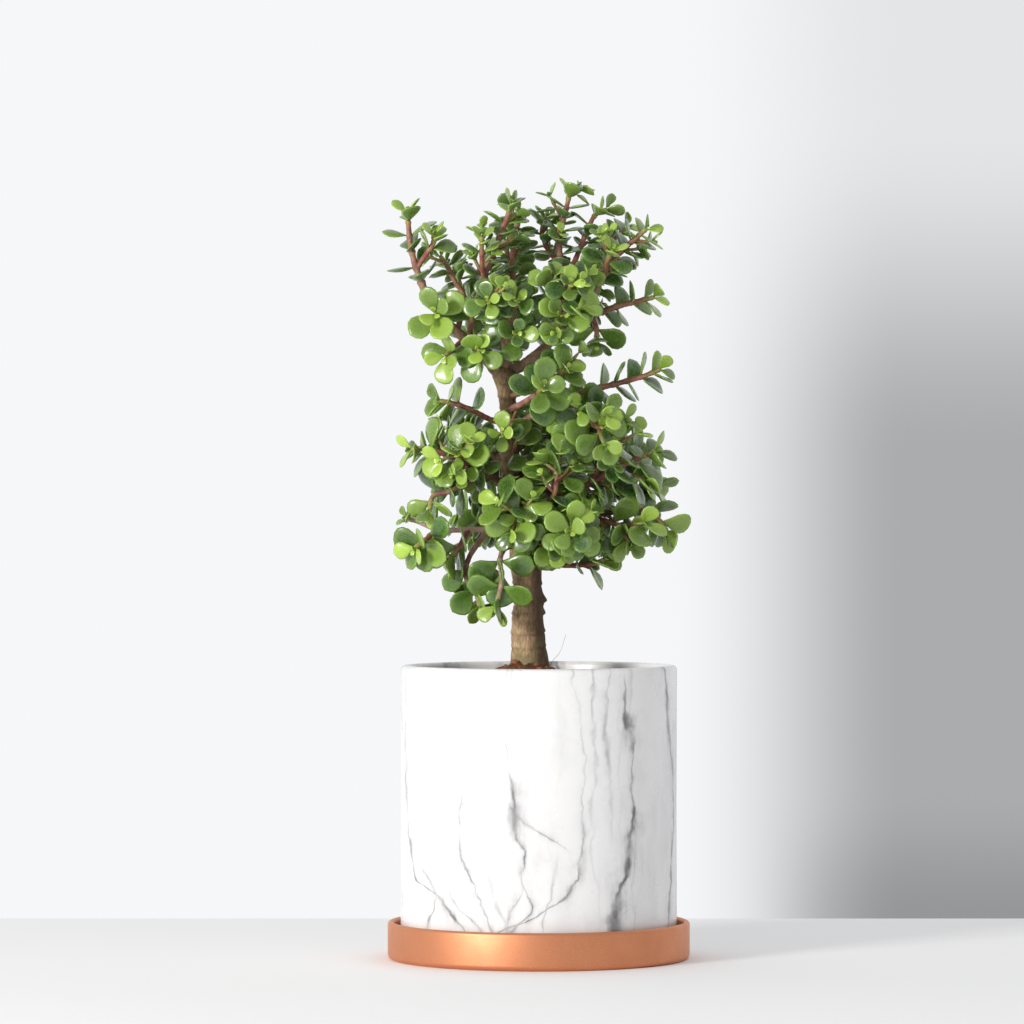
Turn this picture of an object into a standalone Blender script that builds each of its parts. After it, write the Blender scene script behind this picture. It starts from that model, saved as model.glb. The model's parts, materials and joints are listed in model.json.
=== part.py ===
"""A potted dwarf jade tree: a leafy little trunk in a glazed cylinder pot on a round saucer.

Metres, +Z up. The origin is the centre of the saucer's underside, and -Y is the front.
Run with:  blender --background --python part.py
"""
import math

import bmesh
import bpy
import numpy as np
from mathutils import Vector
from mathutils.bvhtree import BVHTree

# ---------------------------------------------------------------- driving dimensions
CLEARANCE = 0.0003          # gap between pieces that touch

POT_DIAMETER = 0.138        # outside of the cylinder
POT_HEIGHT = 0.1422         # foot to rim
POT_WALL = 0.0060
POT_FLOOR = 0.0090
POT_LIP = 0.0022            # rounding of the rim, outside and inside
POT_FOOT = 0.0030           # rounding of the bottom edge
DRAIN_DIAMETER = 0.016      # water hole in the middle of the floor

SAUCER_GAP = 0.0033         # free space between the pot and the saucer's wall
SAUCER_WALL = 0.0032
SAUCER_FLOOR = 0.0040
SAUCER_HEIGHT = 0.0187
SAUCER_CORNER = 0.0026      # rounding of the bottom edge

SOIL_BELOW_RIM = 0.0100     # level of the soil at the pot's wall
SOIL_HEAP = 0.0097          # how much higher it is heaped at the trunk
HEAP_WIDTH = 0.0240         # the heap has sunk to a third this far from the trunk

PLANT_HEIGHT = 0.243        # soil to the topmost leaf
PLANT_SPREAD = 0.150        # widest span of the foliage
TRUNK_DIAMETER = 0.0165     # at the soil
TRUNK_OFFSET = -0.0043      # the trunk stands a little left of the pot's middle
TRUNK_BURIED = 0.030        # depth of its foot in the soil
TWIG_TIP_DIAMETER = 0.0022  # every branch thins out to this
LEAF_LENGTH = 0.0150        # a full-grown leaf
LEAF_THICKNESS = 0.0022
LEAF_CLEARANCE = 0.0007     # least air between leaves of two branches

# ---------------------------------------------------------------- facets
TURNED_STEPS = 36
TRUNK_SIDES_LEVEL = 3       # bevel resolution: ten sides
LIMB_SIDES_LEVEL = 1        # bevel resolution: six sides
TWIG_SIDES_LEVEL = 0        # bevel resolution: four sides
LIMB_THICKNESS = 4.0        # mm at its base: a thicker branch is a limb
LEAF_CORNERS = 6
CURVE_SAMPLES = 12          # samples of a smooth run between two of its points
BARE_STEP = 0.012           # spacing of the points along a bare stretch of branch
SHORTEST_STEP = 0.0005      # points of a branch closer than this are one
HOLE_SIDES = 24             # facets of the hole that the trunk stands in
SOIL_RINGS = (0.0, 0.16, 0.34, 0.56, 0.78, 1.0)   # circles of the soil's top, shares of its radius
WELD = 1e-6                 # corners closer than this are one
HAIR = 1e-4                 # a length or sine too small to matter

# ---------------------------------------------------------------- habit of the plant
# Points are (right, back, up) from the trunk's foot at the soil, in millimetres, drawn for
# a plant DRAWN_HEIGHT tall and DRAWN_SPREAD wide. They scale with the two plant sizes.
MM = 0.001
DRAWN_HEIGHT = 0.243
DRAWN_SPREAD = 0.150

# Trunk: point, and its thickness there as a share of TRUNK_DIAMETER.
TRUNK = [
    ((0, 0, 0), 1.00), ((-1, 0, 18), 0.98), ((-1, 0, 38), 0.84), ((-2, 0, 50), 0.94),
    ((-4, 0, 65), 0.80), ((-7, 0, 80), 0.74), ((-9, 0, 92), 0.66), ((-10, 0, 108), 0.55),
    ((-11, 0, 128), 0.50), ((-12, 0, 138), 0.54), ((-13, 0, 149), 0.90),
]

# Branches: name, parent, share of the parent's length where it leaves, points, thickness at
# its base in mm, leaf pairs, spacing of the pairs in mm, leaf size, turn of the tip pair.
BRANCHES = [
    # the crown's left arm and what it carries
    ("crown_left", "trunk", 0.95,
     [(-26, -5, 158), (-37, -9, 167), (-47, -12, 178), (-53, -14, 188), (-59, -16, 207),
      (-61, -17, 226)], 6.4, 6, 8.0, 0.92, 0),
    ("crown_left_twig", "crown_left", 0.72,
     [(-52, -20, 204), (-48, -23, 210), (-48, -24, 214)], 2.8, 3, 5.0, 0.85, 10),
    ("crown_left_back", "crown_left", 0.35,
     [(-33, -2, 183), (-38, 0, 193), (-43, 2, 202), (-45, 3, 205)], 3.0, 4, 7.0, 0.80, 40),
    ("crown_left_front", "crown_left", 0.46,
     [(-46, -20, 174), (-47, -27, 175)], 3.0, 3, 4.0, 1.15, 30),
    ("crown_left_low", "crown_left", 0.30,
     [(-39, -16, 157), (-42, -21, 154)], 3.0, 3, 4.0, 1.05, 0),
    ("crown_left_under", "crown_left", 0.17,
     [(-25, -20, 156), (-25, -29, 157)], 3.0, 3, 4.0, 1.05, 60),
    ("crown_left_spur", "crown_left", 0.24,
     [(-30, -14, 167), (-29, -17, 173), (-32, -18, 179)], 3.0, 3, 5.0, 0.85, 0),
    # the crown's middle stems
    ("crown_middle", "trunk", 1.00,
     [(-12, -2, 160), (-13, -4, 172), (-17, -8, 184), (-23, -12, 193), (-19, -13, 203),
      (-15, -14, 214), (-9, -14, 230)], 5.4, 7, 7.0, 0.82, 20),
    ("crown_middle_twig", "crown_middle", 0.55,
     [(-24, -20, 201), (-24, -24, 209), (-24, -26, 213)], 2.8, 3, 5.5, 0.72, 0),
    ("crown_middle_tall", "crown_middle", 0.27,
     [(-10, 1, 187), (-9, 2, 200), (-8, 2, 213), (-5, 2, 225)], 3.6, 7, 6.5, 0.76, 0),
    ("crown_middle_face", "crown_middle", 0.35,
     [(-20, -24, 180), (-21, -36, 181)], 3.0, 4, 4.0, 0.80, 20),
    ("crown_middle_heart", "crown_middle", 0.22,
     [(-8, -16, 176), (-7, -34, 181)], 3.0, 4, 4.5, 0.80, 50),
    ("crown_middle_low", "crown_middle", 0.14,
     [(-9, -16, 163), (-7, -30, 165)], 2.8, 3, 5.0, 0.90, 80),
    # the crown's right arm
    ("crown_right", "trunk", 0.97,
     [(0, 4, 153), (9, 8, 161), (17, 9, 170), (30, 6, 175), (45, 0, 180), (62, -4, 184)],
     5.8, 6, 8.0, 0.88, 60),
    ("crown_right_low", "crown_right", 0.62,
     [(33, -4, 169), (33, -8, 161)], 2.8, 3, 5.0, 1.00, 0),
    ("crown_upper", "crown_right", 0.40,
     [(21, 8, 179), (33, 2, 189), (41, -3, 202), (50, -6, 211), (58, -8, 218)],
     4.6, 7, 6.5, 0.85, 30),
    ("crown_upper_mid", "crown_upper", 0.55,
     [(38, -12, 201), (41, -16, 207)], 2.6, 3, 5.0, 0.90, 0),
    ("crown_dome", "crown_upper", 0.20,
     [(18, 6, 191), (15, 5, 204), (15, 4, 217), (18, 4, 228), (20, 4, 238)],
     3.6, 8, 6.0, 0.78, 0),
    ("crown_dome_left", "crown_dome", 0.39,
     [(10, 10, 207), (6, 12, 217), (8, 12, 225)], 2.8, 4, 6.0, 0.78, 20),
    ("crown_dome_right", "crown_dome", 0.23,
     [(23, 10, 204), (27, 12, 214), (32, 12, 225), (36, 12, 228)], 3.0, 5, 6.5, 0.78, 10),
    ("crown_dome_back", "crown_right", 0.51,
     [(30, 20, 191), (35, 24, 208), (42, 26, 214), (49, 27, 221)], 3.4, 6, 7.0, 0.85, 45),
    ("crown_face", "crown_right", 0.34,
     [(16, -16, 177), (19, -30, 185), (20, -40, 189)], 3.2, 5, 5.0, 0.80, 0),
    ("crown_face_left", "crown_face", 0.63,
     [(11, -26, 185), (7, -30, 190)], 2.4, 3, 4.0, 0.90, 30),
    ("crown_face_low", "crown_face", 0.27,
     [(15, -24, 172), (16, -33, 174)], 2.6, 3, 4.5, 1.05, 70),
    # the crown's back
    ("crown_back_left", "crown_left", 0.17,
     [(-28, 16, 166), (-32, 32, 182), (-38, 38, 200)], 3.6, 5, 8.0, 1.00, 0),
    ("crown_back", "trunk", 0.94,
     [(-10, 14, 158), (-9, 30, 176), (-11, 38, 197), (-12, 36, 215)], 5.0, 7, 8.0, 0.95, 45),
    ("crown_back_right", "crown_back", 0.31,
     [(5, 36, 179), (18, 42, 192), (30, 44, 204)], 3.6, 5, 8.0, 1.00, 0),
    # round the collar of the trunk
    ("collar_right", "trunk", 0.90,
     [(0, -14, 138), (11, -26, 143), (18, -32, 147)], 3.4, 4, 5.0, 1.00, 20),
    ("collar_front", "trunk", 0.86,
     [(-5, -20, 130), (3, -36, 135), (6, -44, 138)], 3.8, 4, 5.0, 1.15, 0),
    ("collar_small", "trunk", 0.76,
     [(-13, -16, 115), (-14, -26, 116)], 2.6, 3, 4.0, 0.80, 0),
    # the middle tier
    ("middle_left_high", "trunk", 0.81,
     [(-20, -6, 123), (-30, -12, 128), (-39, -16, 131), (-45, -18, 132)], 3.2, 4, 7.0, 1.00, 30),
    ("right_high", "trunk", 0.79,
     [(5, -4, 127), (22, -6, 135), (40, -7, 140), (55, -8, 144), (65, -8, 148)],
     4.2, 6, 7.0, 0.95, 45),
    ("right_high_front", "right_high", 0.44,
     [(25, -20, 126), (31, -30, 120), (36, -34, 118)], 3.2, 4, 5.0, 1.15, 0),
    ("right_long", "trunk", 0.62,
     [(10, -8, 87), (25, -14, 89), (40, -18, 97), (52, -20, 103), (62, -20, 107)],
     4.6, 6, 7.5, 1.15, 20),
    ("right_long_low", "right_long", 0.70,
     [(49, -18, 95), (57, -20, 92)], 2.6, 3, 5.0, 1.15, 0),
    ("right_long_up", "right_long", 0.54,
     [(35, -22, 102), (41, -24, 108), (43, -24, 113)], 2.8, 3, 5.0, 1.15, 0),
    ("right_back", "trunk", 0.66,
     [(8, 12, 102), (28, 20, 105), (48, 24, 98), (63, 22, 90)], 4.2, 6, 8.0, 1.20, 0),
    ("right_low", "trunk", 0.49,
     [(15, 2, 75), (35, 4, 76), (53, 2, 78), (64, -2, 73), (67, -4, 67)], 4.4, 6, 8.0, 1.15, 30),
    ("right_low_inner", "right_low", 0.42,
     [(39, -8, 72), (49, -12, 68)], 2.8, 3, 6.0, 1.20, 0),
    ("front_spray", "trunk", 0.57,
     [(2, -18, 80), (11, -26, 84), (13, -28, 93), (13, -28, 100)], 3.6, 4, 6.0, 1.15, 0),
    ("front_heart", "trunk", 0.49,
     [(-5, -18, 74), (-6, -32, 75)], 3.2, 4, 4.5, 1.15, 20),
    ("front_right", "trunk", 0.44,
     [(7, -18, 65), (19, -32, 68), (23, -38, 71)], 3.6, 4, 5.0, 1.05, 60),
    ("lowest_right", "trunk", 0.34,
     [(8, 0, 51), (20, -2, 50), (31, -5, 51), (37, -8, 53)], 3.2, 4, 6.0, 0.95, 0),
    ("middle_left", "trunk", 0.60,
     [(-20, -6, 94), (-30, -12, 99), (-41, -18, 105), (-52, -20, 108), (-59, -20, 108)],
     4.4, 6, 7.0, 1.05, 0),
    ("middle_left_front", "middle_left", 0.45,
     [(-34, -24, 103), (-36, -32, 106)], 2.8, 3, 4.0, 1.10, 0),
    ("middle_left_low", "middle_left", 0.28,
     [(-30, -14, 92), (-40, -18, 87), (-48, -18, 85), (-50, -20, 78)], 2.8, 6, 6.5, 1.00, 0),
    # the low tier
    ("left_long", "trunk", 0.45,
     [(-15, -6, 68), (-30, -10, 68), (-45, -12, 68), (-56, -14, 72), (-62, -14, 74)],
     3.6, 2, 4.0, 0.60, 0),
    ("left_long_drop", "left_long", 0.73,
     [(-52, -22, 63), (-57, -26, 59)], 2.8, 4, 4.5, 1.10, 0),
    ("left_long_under", "left_long", 0.46,
     [(-35, -14, 60), (-40, -14, 53)], 2.8, 4, 5.0, 1.10, 0),
    ("lowest_left", "left_long", 0.30,
     [(-30, -8, 55), (-32, -12, 45), (-27, -16, 37), (-25, -18, 30)], 3.0, 5, 6.5, 0.95, 0),
    ("front_drop", "trunk", 0.40,
     [(-12, -14, 59), (-15, -24, 53), (-14, -30, 43), (-17, -30, 30)], 3.2, 5, 7.0, 1.10, 0),
    # the middle tier's back
    ("back_left", "trunk", 0.69,
     [(-18, 18, 105), (-30, 34, 113), (-42, 42, 124)], 4.2, 6, 7.0, 1.00, 0),
    ("back_right", "trunk", 0.71,
     [(0, 20, 113), (13, 38, 121), (28, 46, 131)], 4.2, 6, 7.0, 1.00, 0),
    ("back_low", "trunk", 0.52,
     [(-10, 20, 79), (-20, 36, 75), (-31, 46, 73)], 3.8, 5, 8.0, 1.05, 0),
    ("back_low_right", "trunk", 0.49,
     [(5, 18, 74), (15, 34, 70), (28, 44, 65)], 3.8, 5, 8.0, 1.05, 0),
]

# Leaves. Counted from the tip: size and lean from the stem settle from the third pair on.
LEAF_SIZES = (0.66, 0.90, 1.0)
LEAF_LEANS = (40.0, 56.0, 66.0)
PAIR_GAPS = (0.60, 0.85, 1.0)     # share of the branch's spacing between tip pair, next, ...
LEAF_WIDTH = 0.84                 # share of its length
LEAF_WAIST = 0.26                 # how much narrower the base half is than the tip half
LEAF_SHOULDER = 0.8               # below one: the broadest part lies nearer the tip
LEAF_CUP = 0.05                   # lift of the edges, share of the length
LEAF_ROOT = 0.45                  # a leaf starts this share of the stem's radius off its axis
LIGHT = np.array((-0.42, -0.62, 0.66))
OUTWARD = 0.8                     # how much a leaf faces away from the trunk, beside the light
OUTWARD_CORE = 0.010              # nearer the trunk's axis than this it does so less
SIDEWAYS = 0.75                   # a branch running less sideways than this starts its pairs there
FACE_LIGHT = (0.58, 0.22)         # turn of a blade's face towards the light, at the soil and the top
FLATTEN = (0.42, 0.20)            # turn of its length square to the light, at the soil and the top
VARIATION = np.array((0.07, 11.0, 9.0, 0.18))   # spread of size, swing, lean and facing
# A leaf that has no room swings round its stem, leans another way, or stays smaller.
SWINGS = (0, 14, -14, 28, -28, 44, -44, 60, -60, 78, -78)
LEANS = (0, 14, -14, 28, -28)
SIZES = (1.0, 0.86, 0.72, 0.58, 0.44, 0.32)
FREE_FROM = 0.25                  # a leaf keeps clear of its own branch from here outwards


# ---------------------------------------------------------------- scene helpers
def new_material(name, colour, roughness, metallic=0.0):
    """A Principled material with the piece's plain colour."""
    material = bpy.data.materials.new(name)
    material.use_nodes = True
    shader = material.node_tree.nodes["Principled BSDF"]
    shader.inputs["Base Color"].default_value = (*colour, 1.0)
    shader.inputs["Roughness"].default_value = roughness
    shader.inputs["Metallic"].default_value = metallic
    material.diffuse_color = (*colour, 1.0)
    return material


def add_object(name, data, collection, material):
    """Link an object made from mesh or curve data, with its own material."""
    item = bpy.data.objects.new(name, data)
    collection.objects.link(item)
    data.materials.append(material)
    return item


def hide_cutter(item):
    """Mark an object as a tool that isn't part of the plant."""
    item.hide_render = True
    item.display_type = "WIRE"


def boolean(item, tool, operation):
    """Join or cut an object with a closed tool, by a live Boolean modifier."""
    modifier = item.modifiers.new(operation.title(), "BOOLEAN")
    modifier.operation = operation
    modifier.solver = "EXACT"
    modifier.use_self = operation == "UNION"
    modifier.object = tool


def baked_mesh(item):
    """The object's evaluated mesh as new mesh data, with loose caps welded."""
    bpy.context.view_layer.update()
    evaluated = item.evaluated_get(bpy.context.evaluated_depsgraph_get())
    mesh = bpy.data.meshes.new_from_object(evaluated)
    shape = bmesh.new()
    shape.from_mesh(mesh)
    bmesh.ops.remove_doubles(shape, verts=shape.verts, dist=WELD)
    bmesh.ops.recalc_face_normals(shape, faces=shape.faces)
    shape.to_mesh(mesh)
    shape.free()
    return mesh


# ---------------------------------------------------------------- turned pieces
def arc(centre_x, centre_z, radius, start, stop, count=3):
    """Points on an arc in the XZ half plane, angles in degrees from +X towards +Z."""
    turns = np.radians(np.linspace(start, stop, count))
    return [(centre_x + radius * math.cos(a), centre_z + radius * math.sin(a)) for a in turns]


def turned(name, profile, closed, collection, material):
    """A solid of revolution: the profile runs down its outer side, a Screw turns it."""
    mesh = bpy.data.meshes.new(name)
    count = len(profile)
    edges = [(i, i + 1) for i in range(count - 1)]
    if closed:
        edges.append((count - 1, 0))
    mesh.from_pydata([(x, 0.0, z) for x, z in profile], edges, [])
    item = add_object(name, mesh, collection, material)
    screw = item.modifiers.new("Turn", "SCREW")
    screw.steps = TURNED_STEPS
    screw.render_steps = TURNED_STEPS
    screw.use_merge_vertices = True
    screw.merge_threshold = WELD
    screw.use_smooth_shade = True
    return item


def make_saucer(collection, material):
    """A shallow dish with a rounded bottom edge and a half-round rim."""
    outer = POT_DIAMETER / 2 + SAUCER_GAP + SAUCER_WALL
    inner = outer - SAUCER_WALL
    lip = SAUCER_WALL / 2
    inner_corner = SAUCER_GAP / 2
    profile = [(0.0, SAUCER_FLOOR)]
    profile += arc(inner - inner_corner, SAUCER_FLOOR + inner_corner, inner_corner, -90, 0)
    profile += arc(inner + lip, SAUCER_HEIGHT - lip, lip, 180, 0, 5)
    profile += arc(outer - SAUCER_CORNER, SAUCER_CORNER, SAUCER_CORNER, 0, -90)
    profile += [(0.0, 0.0)]
    return turned("saucer", profile, False, collection, material)


def make_pot(collection, material):
    """A cylinder with a rounded rim, a rounded foot and a water hole in its floor."""
    foot = SAUCER_FLOOR + CLEARANCE
    rim = foot + POT_HEIGHT
    outer = POT_DIAMETER / 2
    inner = outer - POT_WALL
    hole = DRAIN_DIAMETER / 2
    floor = foot + POT_FLOOR
    profile = arc(outer - POT_LIP, rim - POT_LIP, POT_LIP, 90, 0)
    profile += arc(outer - POT_FOOT, foot + POT_FOOT, POT_FOOT, 0, -90)
    profile += [(hole, foot), (hole, floor)]
    profile += arc(inner - POT_FOOT, floor + POT_FOOT, POT_FOOT, -90, 0)
    profile += arc(inner + POT_LIP, rim - POT_LIP, POT_LIP, 180, 90)
    return turned("pot", profile, True, collection, material)


def soil_level():
    """Height of the soil at the pot's wall."""
    return SAUCER_FLOOR + CLEARANCE + POT_HEIGHT - SOIL_BELOW_RIM


def make_soil(collection, cutters, material):
    """The fill of the pot, heaped up to the trunk, with a hole that the trunk stands in."""
    bottom = SAUCER_FLOOR + CLEARANCE + POT_FLOOR + CLEARANCE
    outer = POT_DIAMETER / 2 - POT_WALL - CLEARANCE
    level = soil_level()
    rings = [outer * share for share in SOIL_RINGS]
    profile = [(radius, level) for radius in rings]
    profile += arc(outer - POT_FOOT, bottom + POT_FOOT, POT_FOOT, 0, -90)
    profile += [(0.0, bottom)]
    blank = turned("soil_blank", profile, False, collection, material)
    mesh = baked_mesh(blank)
    bpy.data.objects.remove(blank)
    mesh.name = "soil"
    for vertex in mesh.vertices:
        if vertex.co.z > level - HAIR:
            away = math.hypot(vertex.co.x - TRUNK_OFFSET, vertex.co.y) / HEAP_WIDTH
            vertex.co.z += SOIL_HEAP * math.exp(-away * away)
    soil = bpy.data.objects.new("soil", mesh)
    collection.objects.link(soil)

    sides = 4 + 2 * TRUNK_SIDES_LEVEL
    radius = TRUNK_DIAMETER / 2 / math.cos(math.pi / sides) + CLEARANCE
    top = level + SOIL_HEAP * 2
    base = level + SOIL_HEAP - TRUNK_BURIED - CLEARANCE
    bpy.ops.mesh.primitive_cylinder_add(vertices=HOLE_SIDES,
                                        radius=radius / math.cos(math.pi / HOLE_SIDES),
                                        depth=top - base,
                                        location=(TRUNK_OFFSET, 0.0, (top + base) / 2))
    cutter = bpy.context.object
    cutter.name = "trunk_hole_cutter"
    for holder in cutter.users_collection:
        holder.objects.unlink(cutter)
    cutters.objects.link(cutter)
    hide_cutter(cutter)
    boolean(soil, cutter, "DIFFERENCE")
    return soil


# ---------------------------------------------------------------- runs of wood
def place(point):
    """A drawn point, in metres in the part's frame."""
    right, back, up = point
    across = MM * PLANT_SPREAD / DRAWN_SPREAD
    rise = MM * PLANT_HEIGHT / DRAWN_HEIGHT
    foot = soil_level() + SOIL_HEAP
    return np.array((TRUNK_OFFSET + right * across, back * across, foot + up * rise))


def smooth_run(points):
    """A Catmull-Rom curve through the points, as an array of closely spaced samples."""
    points = np.array(points, dtype=float)
    ends = np.vstack([2 * points[0] - points[1], points, 2 * points[-1] - points[-2]])
    steps = np.linspace(0.0, 1.0, CURVE_SAMPLES, endpoint=False)[:, None]
    spans = []
    for a, b, c, d in zip(ends, ends[1:], ends[2:], ends[3:]):
        spans.append(0.5 * (2 * b + (c - a) * steps + (2 * a - 5 * b + 4 * c - d) * steps ** 2
                            + (3 * b - a - 3 * c + d) * steps ** 3))
    return np.vstack(spans + [points[-1:]])


def distances(run):
    """Distance along a run to each of its samples."""
    return np.concatenate([[0.0], np.cumsum(np.linalg.norm(np.diff(run, axis=0), axis=1))])


def along(run, distance):
    """The point and the direction of a run at a distance from its start."""
    marks = distances(run)
    distance = np.atleast_1d(distance)

    def point(at):
        return np.stack([np.interp(at, marks, run[:, axis]) for axis in range(3)], axis=1)

    ahead = point(np.minimum(distance + HAIR, marks[-1]))
    behind = point(np.maximum(distance - HAIR, 0.0))
    heading = ahead - behind
    return point(distance), heading / np.linalg.norm(heading, axis=1)[:, None]


def unit(vector):
    """The vector at length one."""
    return vector / np.linalg.norm(vector)


def tube(name, points, radii, sides_level, collection, material):
    """A closed tube through the points, made as a bevelled curve and turned into a mesh."""
    curve = bpy.data.curves.new(name, "CURVE")
    curve.dimensions = "3D"
    curve.bevel_depth = 1.0
    curve.bevel_resolution = sides_level
    curve.use_fill_caps = True
    spline = curve.splines.new("POLY")
    spline.points.add(len(points) - 1)
    for knot, point, radius in zip(spline.points, points, radii):
        knot.co = (*point, 1.0)
        knot.radius = radius
    source = add_object(name + "_run", curve, collection, material)
    mesh = baked_mesh(source)
    mesh.name = name
    item = bpy.data.objects.new(name, mesh)
    item.matrix_world = source.matrix_world
    collection.objects.link(item)
    bpy.data.objects.remove(source)
    return item


class Stem:
    """A trunk or branch: its smooth run, and its radius anywhere along it."""

    def __init__(self, run, marks, radii):
        self.run = run
        self.length = distances(run)[-1]
        self.marks = marks
        self.radii = radii

    def radius(self, distance):
        return np.interp(distance, self.marks, self.radii)


def trunk_stem():
    """The trunk's run, from its foot in the soil up to the fork."""
    points = [place(point) for point, share in TRUNK]
    run = smooth_run(points)
    marks = distances(run)[::CURVE_SAMPLES]
    return Stem(run, marks, [share * TRUNK_DIAMETER / 2 for point, share in TRUNK])


def branch_stem(parent, share, points, thickness):
    """A branch's run from its parent's axis, and the bare gap it leaves at the parent's bark."""
    root, heading = along(parent.run, share * parent.length)
    root = root[0]
    run = smooth_run([root] + [place(point) for point in points])
    length = distances(run)[-1]
    radius = thickness * MM / 2
    stem = Stem(run, [0.0, length], [radius, TWIG_TIP_DIAMETER / 2])
    start = unit(place(points[0]) - root)
    level = abs(float(start @ heading[0]))
    slant = math.sqrt(max(1.0 - level * level, HAIR))
    bark = float(parent.radius(share * parent.length))
    bark = max(parent.radius(share * parent.length + bark * np.array((-1.0, 0.0, 1.0))))
    side_exit = (bark + CLEARANCE + radius * level) / slant
    end_exit = ((1.0 - share) * parent.length + CLEARANCE + radius * slant) / max(level, HAIR)
    stem.start = min(side_exit, end_exit)
    return stem


def pair_places(stem, pairs, spacing):
    """Distances along a branch of its leaf pairs, the tip pair first."""
    gaps = [PAIR_GAPS[min(i, len(PAIR_GAPS) - 1)] * spacing * MM for i in range(pairs - 1)]
    back = np.concatenate([[0.0], np.cumsum(gaps)])
    room = stem.length - stem.start - 2 * stem.radius(0.0)
    squeeze = min(1.0, room / back[-1])
    return stem.length - stem.radius(stem.length) * LEAF_ROOT - back * squeeze


# ---------------------------------------------------------------- leaves
def leaf_frame(stem, place_, angle, lean, facing):
    """Axes of a leaf: its length, its breadth and the way its upper face looks.

    It leans out from the stem at the given angles, then turns to the light and outwards.
    """
    point, heading = along(stem.run, place_)
    point, heading = point[0], heading[0]
    aim = stem.run[-1] - stem.run[0]
    level_run = abs(aim[0]) < SIDEWAYS * np.linalg.norm(aim)
    guide = np.array((1.0, 0.0, 0.0)) if level_run else np.array((0.0, 0.0, 1.0))
    side = unit(guide - (guide @ heading) * heading)
    across = np.cross(heading, side)
    turn = math.radians(angle)
    out = math.cos(turn) * side + math.sin(turn) * across
    tilt = math.radians(lean)
    length = math.cos(tilt) * heading + math.sin(tilt) * out
    root = point + out * LEAF_ROOT * stem.radius(place_)

    outward = np.array((root[0] - TRUNK_OFFSET, root[1], 0.0))
    light = unit(LIGHT + OUTWARD * outward / max(np.linalg.norm(outward), OUTWARD_CORE))
    rise = (root[2] - soil_level()) / PLANT_HEIGHT
    facing += np.interp(rise, (0.0, 1.0), FACE_LIGHT)
    length = unit(length - np.interp(rise, (0.0, 1.0), FLATTEN) * (length @ light) * light)
    face = unit(heading - (heading @ length) * length)
    sun = unit(light - (light @ length) * length)
    face = unit((1.0 - facing) * face + facing * sun)
    face = unit(face - (face @ length) * length)
    return root, length, np.cross(face, length), face


def leaf_blank():
    """A coarse unit lens with a corner at its root: a sphere with one ring, and its faces."""
    shape = bmesh.new()
    bmesh.ops.create_uvsphere(shape, u_segments=LEAF_CORNERS, v_segments=2, radius=1.0)
    corners = np.array([(vertex.co.y, -vertex.co.x, vertex.co.z) for vertex in shape.verts])
    faces = [[vertex.index for vertex in face.verts] for face in shape.faces]
    shape.free()
    return np.round(corners, 6), faces


def leaf_corners(corners, frame, length, start=0.0, grown=0.0):
    """The unit lens bent into a leaf: a waisted, slightly cupped oval along its midrib."""
    root, along_, breadth, face = frame
    x, y, z = corners.T
    share = ((x + 1.0) / 2.0) ** LEAF_SHOULDER
    reach = length * (start + (1.0 - start) * share) + grown * x
    half = (length * LEAF_WIDTH / 2 + grown) * (1.0 + LEAF_WAIST * x) / (1.0 + LEAF_WAIST / 2)
    depth = LEAF_THICKNESS / 2 * (length / LEAF_LENGTH) ** 0.5 + grown
    lift = LEAF_CUP * length * y ** 2
    return (root + reach[:, None] * along_ + (half * y)[:, None] * breadth
            + (depth * z + lift)[:, None] * face)


class Thicket:
    """Everything a new leaf must keep clear of."""

    def __init__(self):
        self.items = []

    def add(self, owner, points, faces):
        tree = BVHTree.FromPolygons([Vector(point) for point in points], faces)
        self.items.append((owner, points.min(axis=0), points.max(axis=0), tree))

    def blocks(self, points, faces, skip):
        low, high = points.min(axis=0), points.max(axis=0)
        tree = None
        for owner, other_low, other_high, other in self.items:
            if owner in skip or (low > other_high).any() or (high < other_low).any():
                continue
            if tree is None:
                tree = BVHTree.FromPolygons([Vector(point) for point in points], faces)
            if tree.overlap(other):
                return True
        return False


def tries():
    """Every way a crowded leaf may give way, the least change first."""
    for size in SIZES:
        options = [(abs(swing) + abs(lean), swing, lean) for swing in SWINGS for lean in LEANS]
        for effort, swing, lean in sorted(options):
            yield size, swing, lean


def grow_leaf(stem, name, place_, angle, lean, facing, length, thicket, corners, faces):
    """Find the first way for a leaf that is clear of all others, and return its corners."""
    own = (name, name + ".whole")
    for size, swing, extra_lean in tries():
        frame = leaf_frame(stem, place_, angle + swing, lean + extra_lean, facing)
        outer = leaf_corners(corners, frame, length * size, FREE_FROM, LEAF_CLEARANCE)
        whole = leaf_corners(corners, frame, length * size, 0.0, CLEARANCE)
        if not (thicket.blocks(outer, faces, own)
                or thicket.blocks(whole, faces, own + (name + ".outer",))):
            break
    else:
        print("no room for a leaf on", name)
    blade = leaf_corners(corners, frame, length * size)
    thicket.add(name + ".outer", leaf_corners(corners, frame, length * size, FREE_FROM), faces)
    thicket.add(name + ".whole", blade, faces)
    return blade


def grow_leaves(number, name, stem, habit, thicket, blank):
    """All leaves of one branch: opposite pairs, each pair square to the one before."""
    pairs, spacing, size, turn = habit
    corners, faces = blank
    varied = np.random.RandomState(number).uniform(-1, 1, (pairs, 2, 4)) * VARIATION
    blades = []
    for index, place_ in enumerate(pair_places(stem, pairs, spacing)):
        age = min(index, len(LEAF_SIZES) - 1)
        for side in (0, 1):
            bigger, swing, lean, facing = varied[index, side]
            length = LEAF_LENGTH * size * LEAF_SIZES[age] * (1.0 + bigger)
            angle = turn + 90 * index + 180 * side + swing
            blades.append(grow_leaf(stem, name, place_, angle, LEAF_LEANS[age] + lean,
                                    facing, length, thicket, corners, faces))
    return blades


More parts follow.
